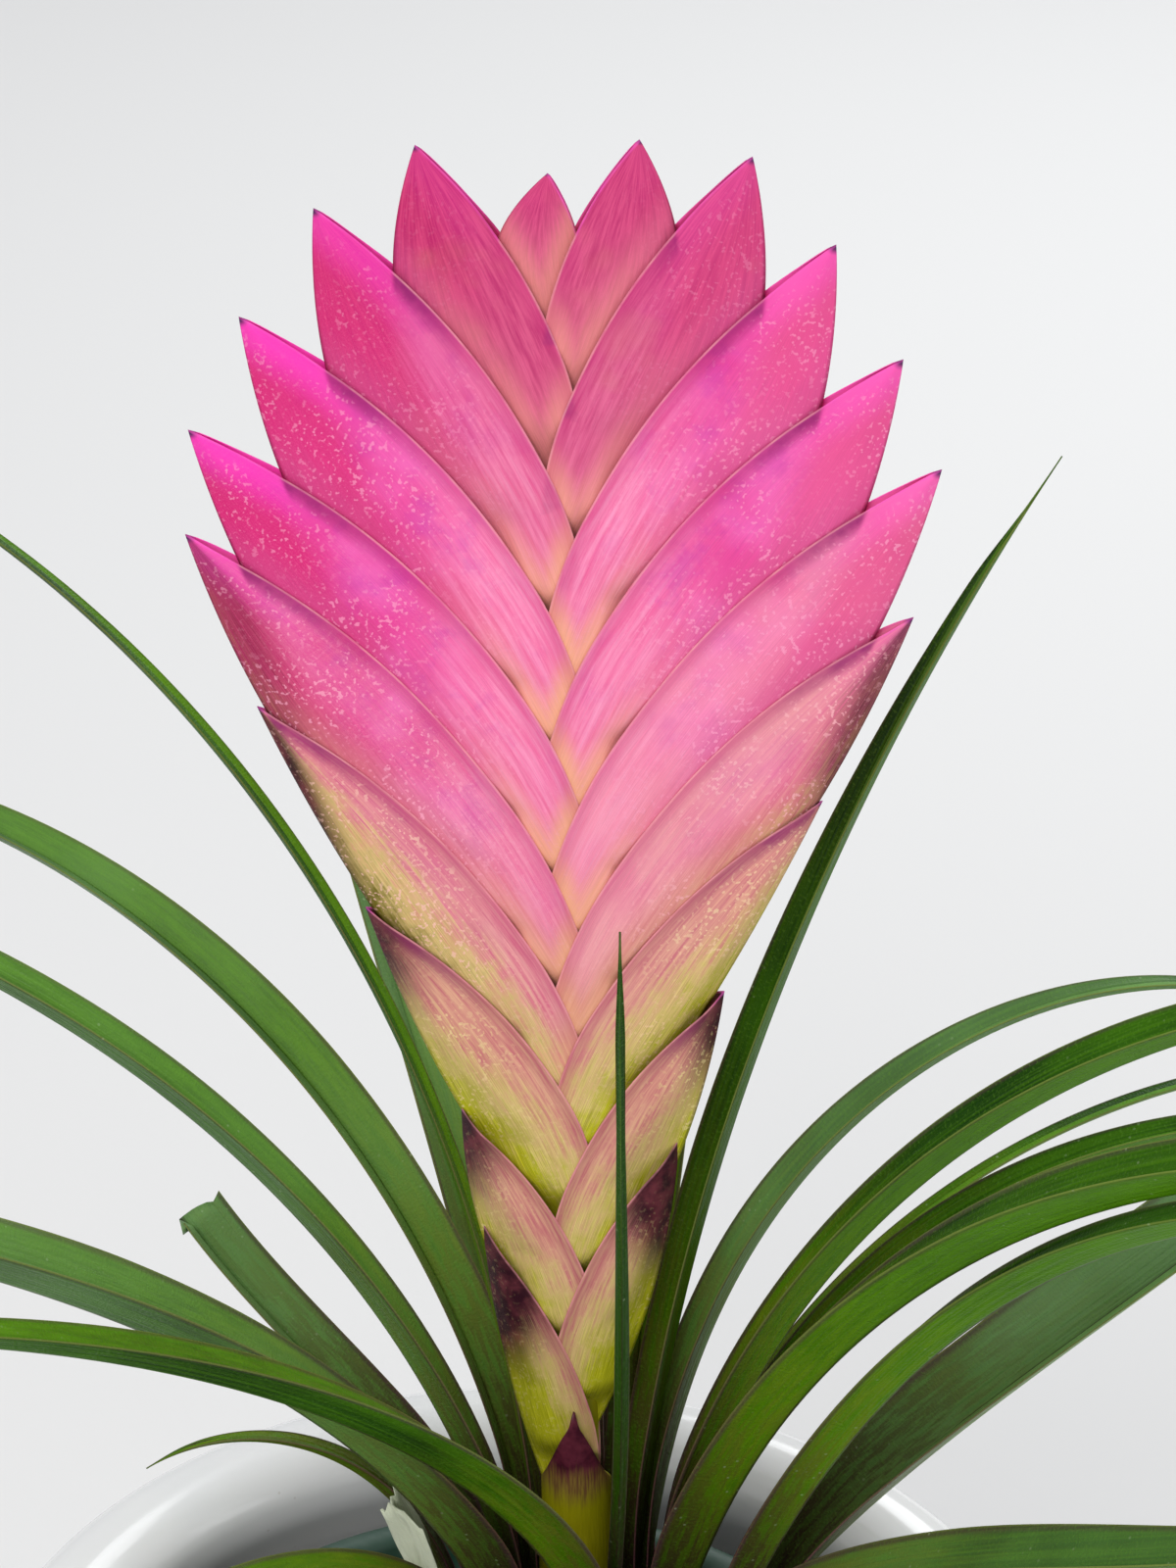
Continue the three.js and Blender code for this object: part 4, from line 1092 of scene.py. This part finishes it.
NURSERY_RADIUS, NURSERY_BASE_RADIUS, NURSERY_TOP = 40.0, 30.0, 91.0
NURSERY_WALL, NURSERY_RIM_WIDTH, NURSERY_RIM_DEPTH = 1.4, 2.4, 7.0
NURSERY_FOOT = POT_FLOOR + 0.3
DRAIN_HOLES, DRAIN_RADIUS, DRAIN_CIRCLE, DRILL_LENGTH = 6, 3.0, 19.0, 6


def nursery_inner(z):
    share = (z - NURSERY_FOOT) / (NURSERY_TOP - NURSERY_FOOT)
    return lerp(NURSERY_BASE_RADIUS, NURSERY_RADIUS - NURSERY_RIM_WIDTH, share) - NURSERY_WALL


rim_foot = NURSERY_TOP - NURSERY_RIM_DEPTH
nursery_profile = [(0, NURSERY_FOOT), (NURSERY_BASE_RADIUS, NURSERY_FOOT)]
nursery_profile += [(nursery_inner(rim_foot) + NURSERY_WALL, rim_foot), (NURSERY_RADIUS - 0.6, rim_foot)]
nursery_profile += rounded_top(NURSERY_RADIUS, nursery_inner(NURSERY_TOP), NURSERY_TOP, 1.2, 10)
nursery_profile += [(nursery_inner(NURSERY_FOOT + NURSERY_WALL), NURSERY_FOOT + NURSERY_WALL)]
nursery_profile += [(0, NURSERY_FOOT + NURSERY_WALL)]
nursery_pot = new_piece(
    "nursery_pot_moulded", turned(nursery_profile, 96), pot_plastic_finish(), "nursery_pot"
)
drills = bmesh.new()
for hole in range(DRAIN_HOLES):
    turn = 2 * math.pi * hole / DRAIN_HOLES
    where = Vector((DRAIN_CIRCLE * math.cos(turn), DRAIN_CIRCLE * math.sin(turn), NURSERY_FOOT)) * MM
    rod(drills, DRAIN_RADIUS * MM, DRILL_LENGTH * MM, where, 24)
drill = mesh_object("drills", drills)
cut = nursery_pot.modifiers.new("drain_holes", "BOOLEAN")
cut.object = drill
cut.operation = "DIFFERENCE"
bpy.context.view_layer.update()
drilled = bpy.data.meshes.new_from_object(nursery_pot.evaluated_get(bpy.context.evaluated_depsgraph_get()))
nursery_pot.modifiers.clear()
nursery_pot.data = drilled
bpy.data.objects.remove(drill)
print("nursery pot faces:", len(nursery_pot.data.polygons))

# %% [markdown]
# ## The growing mix
# The pot is filled with bark chips and peat. A turned plug with a rough surface is the peat, and a few
# hundred little chips of bark lie on it, clear of the rosette. Each chip is a cube that has been squashed,
# turned and had its corners knocked about.


# %% Growing mix
def mix_finish():
    f = Finish("bark_and_peat")
    place = f.place()
    lumps = f.cloud(place, 300.0, 5.0, 0.7)
    each = f.attribute("tone")
    dark = f.blend(lumps, (30, 20, 14), (74, 50, 34))
    bark = f.shade(lumps, 0.3, 0.7, (70, 44, 28), (128, 90, 58))
    tone = f.blend(each, dark, bark)
    return f.set(colour=tone, rough=0.92, normal=f.bump(lumps, 0.8, 0.001), specular=0.2)


MIX_TOP, MIX_EDGE_DROP, GRAIN_HEIGHT, GRAIN_DROP = 87.0, 2.5, 0.45, 0.25
ROSETTE_RADIUS = 14.5 + 2.6
bark_and_peat = mix_finish()
mix_bottom = NURSERY_FOOT + NURSERY_WALL + 0.3
mix_edge = MIX_TOP - MIX_EDGE_DROP
mix_radius = nursery_inner(mix_edge) - 0.3
mix_profile = [(0, mix_bottom), (nursery_inner(mix_bottom) - 0.3, mix_bottom)]
mix_rings = 26
for ring in range(mix_rings, -1, -1):
    share = ring / mix_rings
    mix_profile.append((mix_radius * share, lerp(MIX_TOP, mix_edge, share * share)))
mix_shape = turned(mix_profile, 120)
tone_layer = mix_shape.verts.layers.float.new("tone")
for point in mix_shape.verts:
    radius = point.co.xy.length / MM
    if point.co.z > 60 * MM and radius < mix_radius - 0.5:
        grains = noise.fractal(point.co * 420, 0.8, 2.0, 4)
        point.co.z += (GRAIN_HEIGHT * grains - GRAIN_DROP) * MM
    point[tone_layer] = 0.1
peat = new_piece("growing_mix_peat", mix_shape, bark_and_peat, "growing_mix")

CHIPS = 420
dice = random.Random(11)
chips_shape = bmesh.new()
chip_tone = chips_shape.verts.layers.float.new("tone")
for _ in range(CHIPS):
    radius = (mix_radius - 2.5) * math.sqrt(dice.random())
    turn = dice.uniform(0, 2 * math.pi)
    size = dice.uniform(1.2, 3.4)
    spin = [dice.uniform(-0.6, 0.6), dice.uniform(-0.6, 0.6), dice.uniform(0, math.pi)]
    tone = dice.random()
    x, y = radius * math.cos(turn), radius * math.sin(turn)
    from_stem = math.hypot(x - PLANT_X, y - PLANT_Y)
    if from_stem < ROSETTE_RADIUS:
        continue
    share = radius / mix_radius
    height = lerp(MIX_TOP, mix_edge, share * share)
    place = Matrix.Translation(Vector((x, y, height)) * MM)
    for angle, axis in zip((spin[2], spin[0], spin[1]), "ZXY"):
        place @= Matrix.Rotation(angle, 4, axis)
    place @= Matrix.Diagonal((size * MM, size * 0.6 * MM, size * 0.3 * MM, 1))
    corners = bmesh.ops.create_cube(chips_shape, size=1, matrix=place)["verts"]
    for corner in corners:
        corner.co += Vector([dice.uniform(-0.22, 0.22) * size * MM for _ in range(3)])
        corner[chip_tone] = tone
chips = new_piece("growing_mix_chips", chips_shape, bark_and_peat, "growing_mix", smooth=False)
soften = chips.modifiers.new("worn_edges", "BEVEL")
soften.width = 0.12 * MM
soften.segments = 1
print("chips:", len(chips.data.polygons) // 6)

# %% [markdown]
# ## The crown stem
# The leaves stand on a short woody plug. Almost nothing of it shows, so the solid stays as it is
# and only gets its finish: brown, fibrous and ringed by the scars of old leaves.


# %% Crown stem
def stem_finish():
    f = Finish("crown_stem_bark")
    place = f.place()
    inputs = {"Vector": place, "Scale": 260.0, "Distortion": 3.0}
    rings = f.node("ShaderNodeTexWave", inputs, output="Fac", bands_direction="Z")
    fibres = f.cloud(place, 500.0, 4.0, 0.6)
    brown = f.blend(fibres, (58, 40, 26), (112, 88, 56))
    brown = f.blend(f.times(rings, 0.4), brown, (38, 26, 20))
    return f.set(colour=brown, rough=0.9, normal=f.bump(fibres, 0.6, 0.0006), specular=0.2)


crown_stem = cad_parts["crown_stem"]
crown_stem.data.materials.clear()
crown_stem.data.materials.append(stem_finish())
print("crown stem keeps its solid")
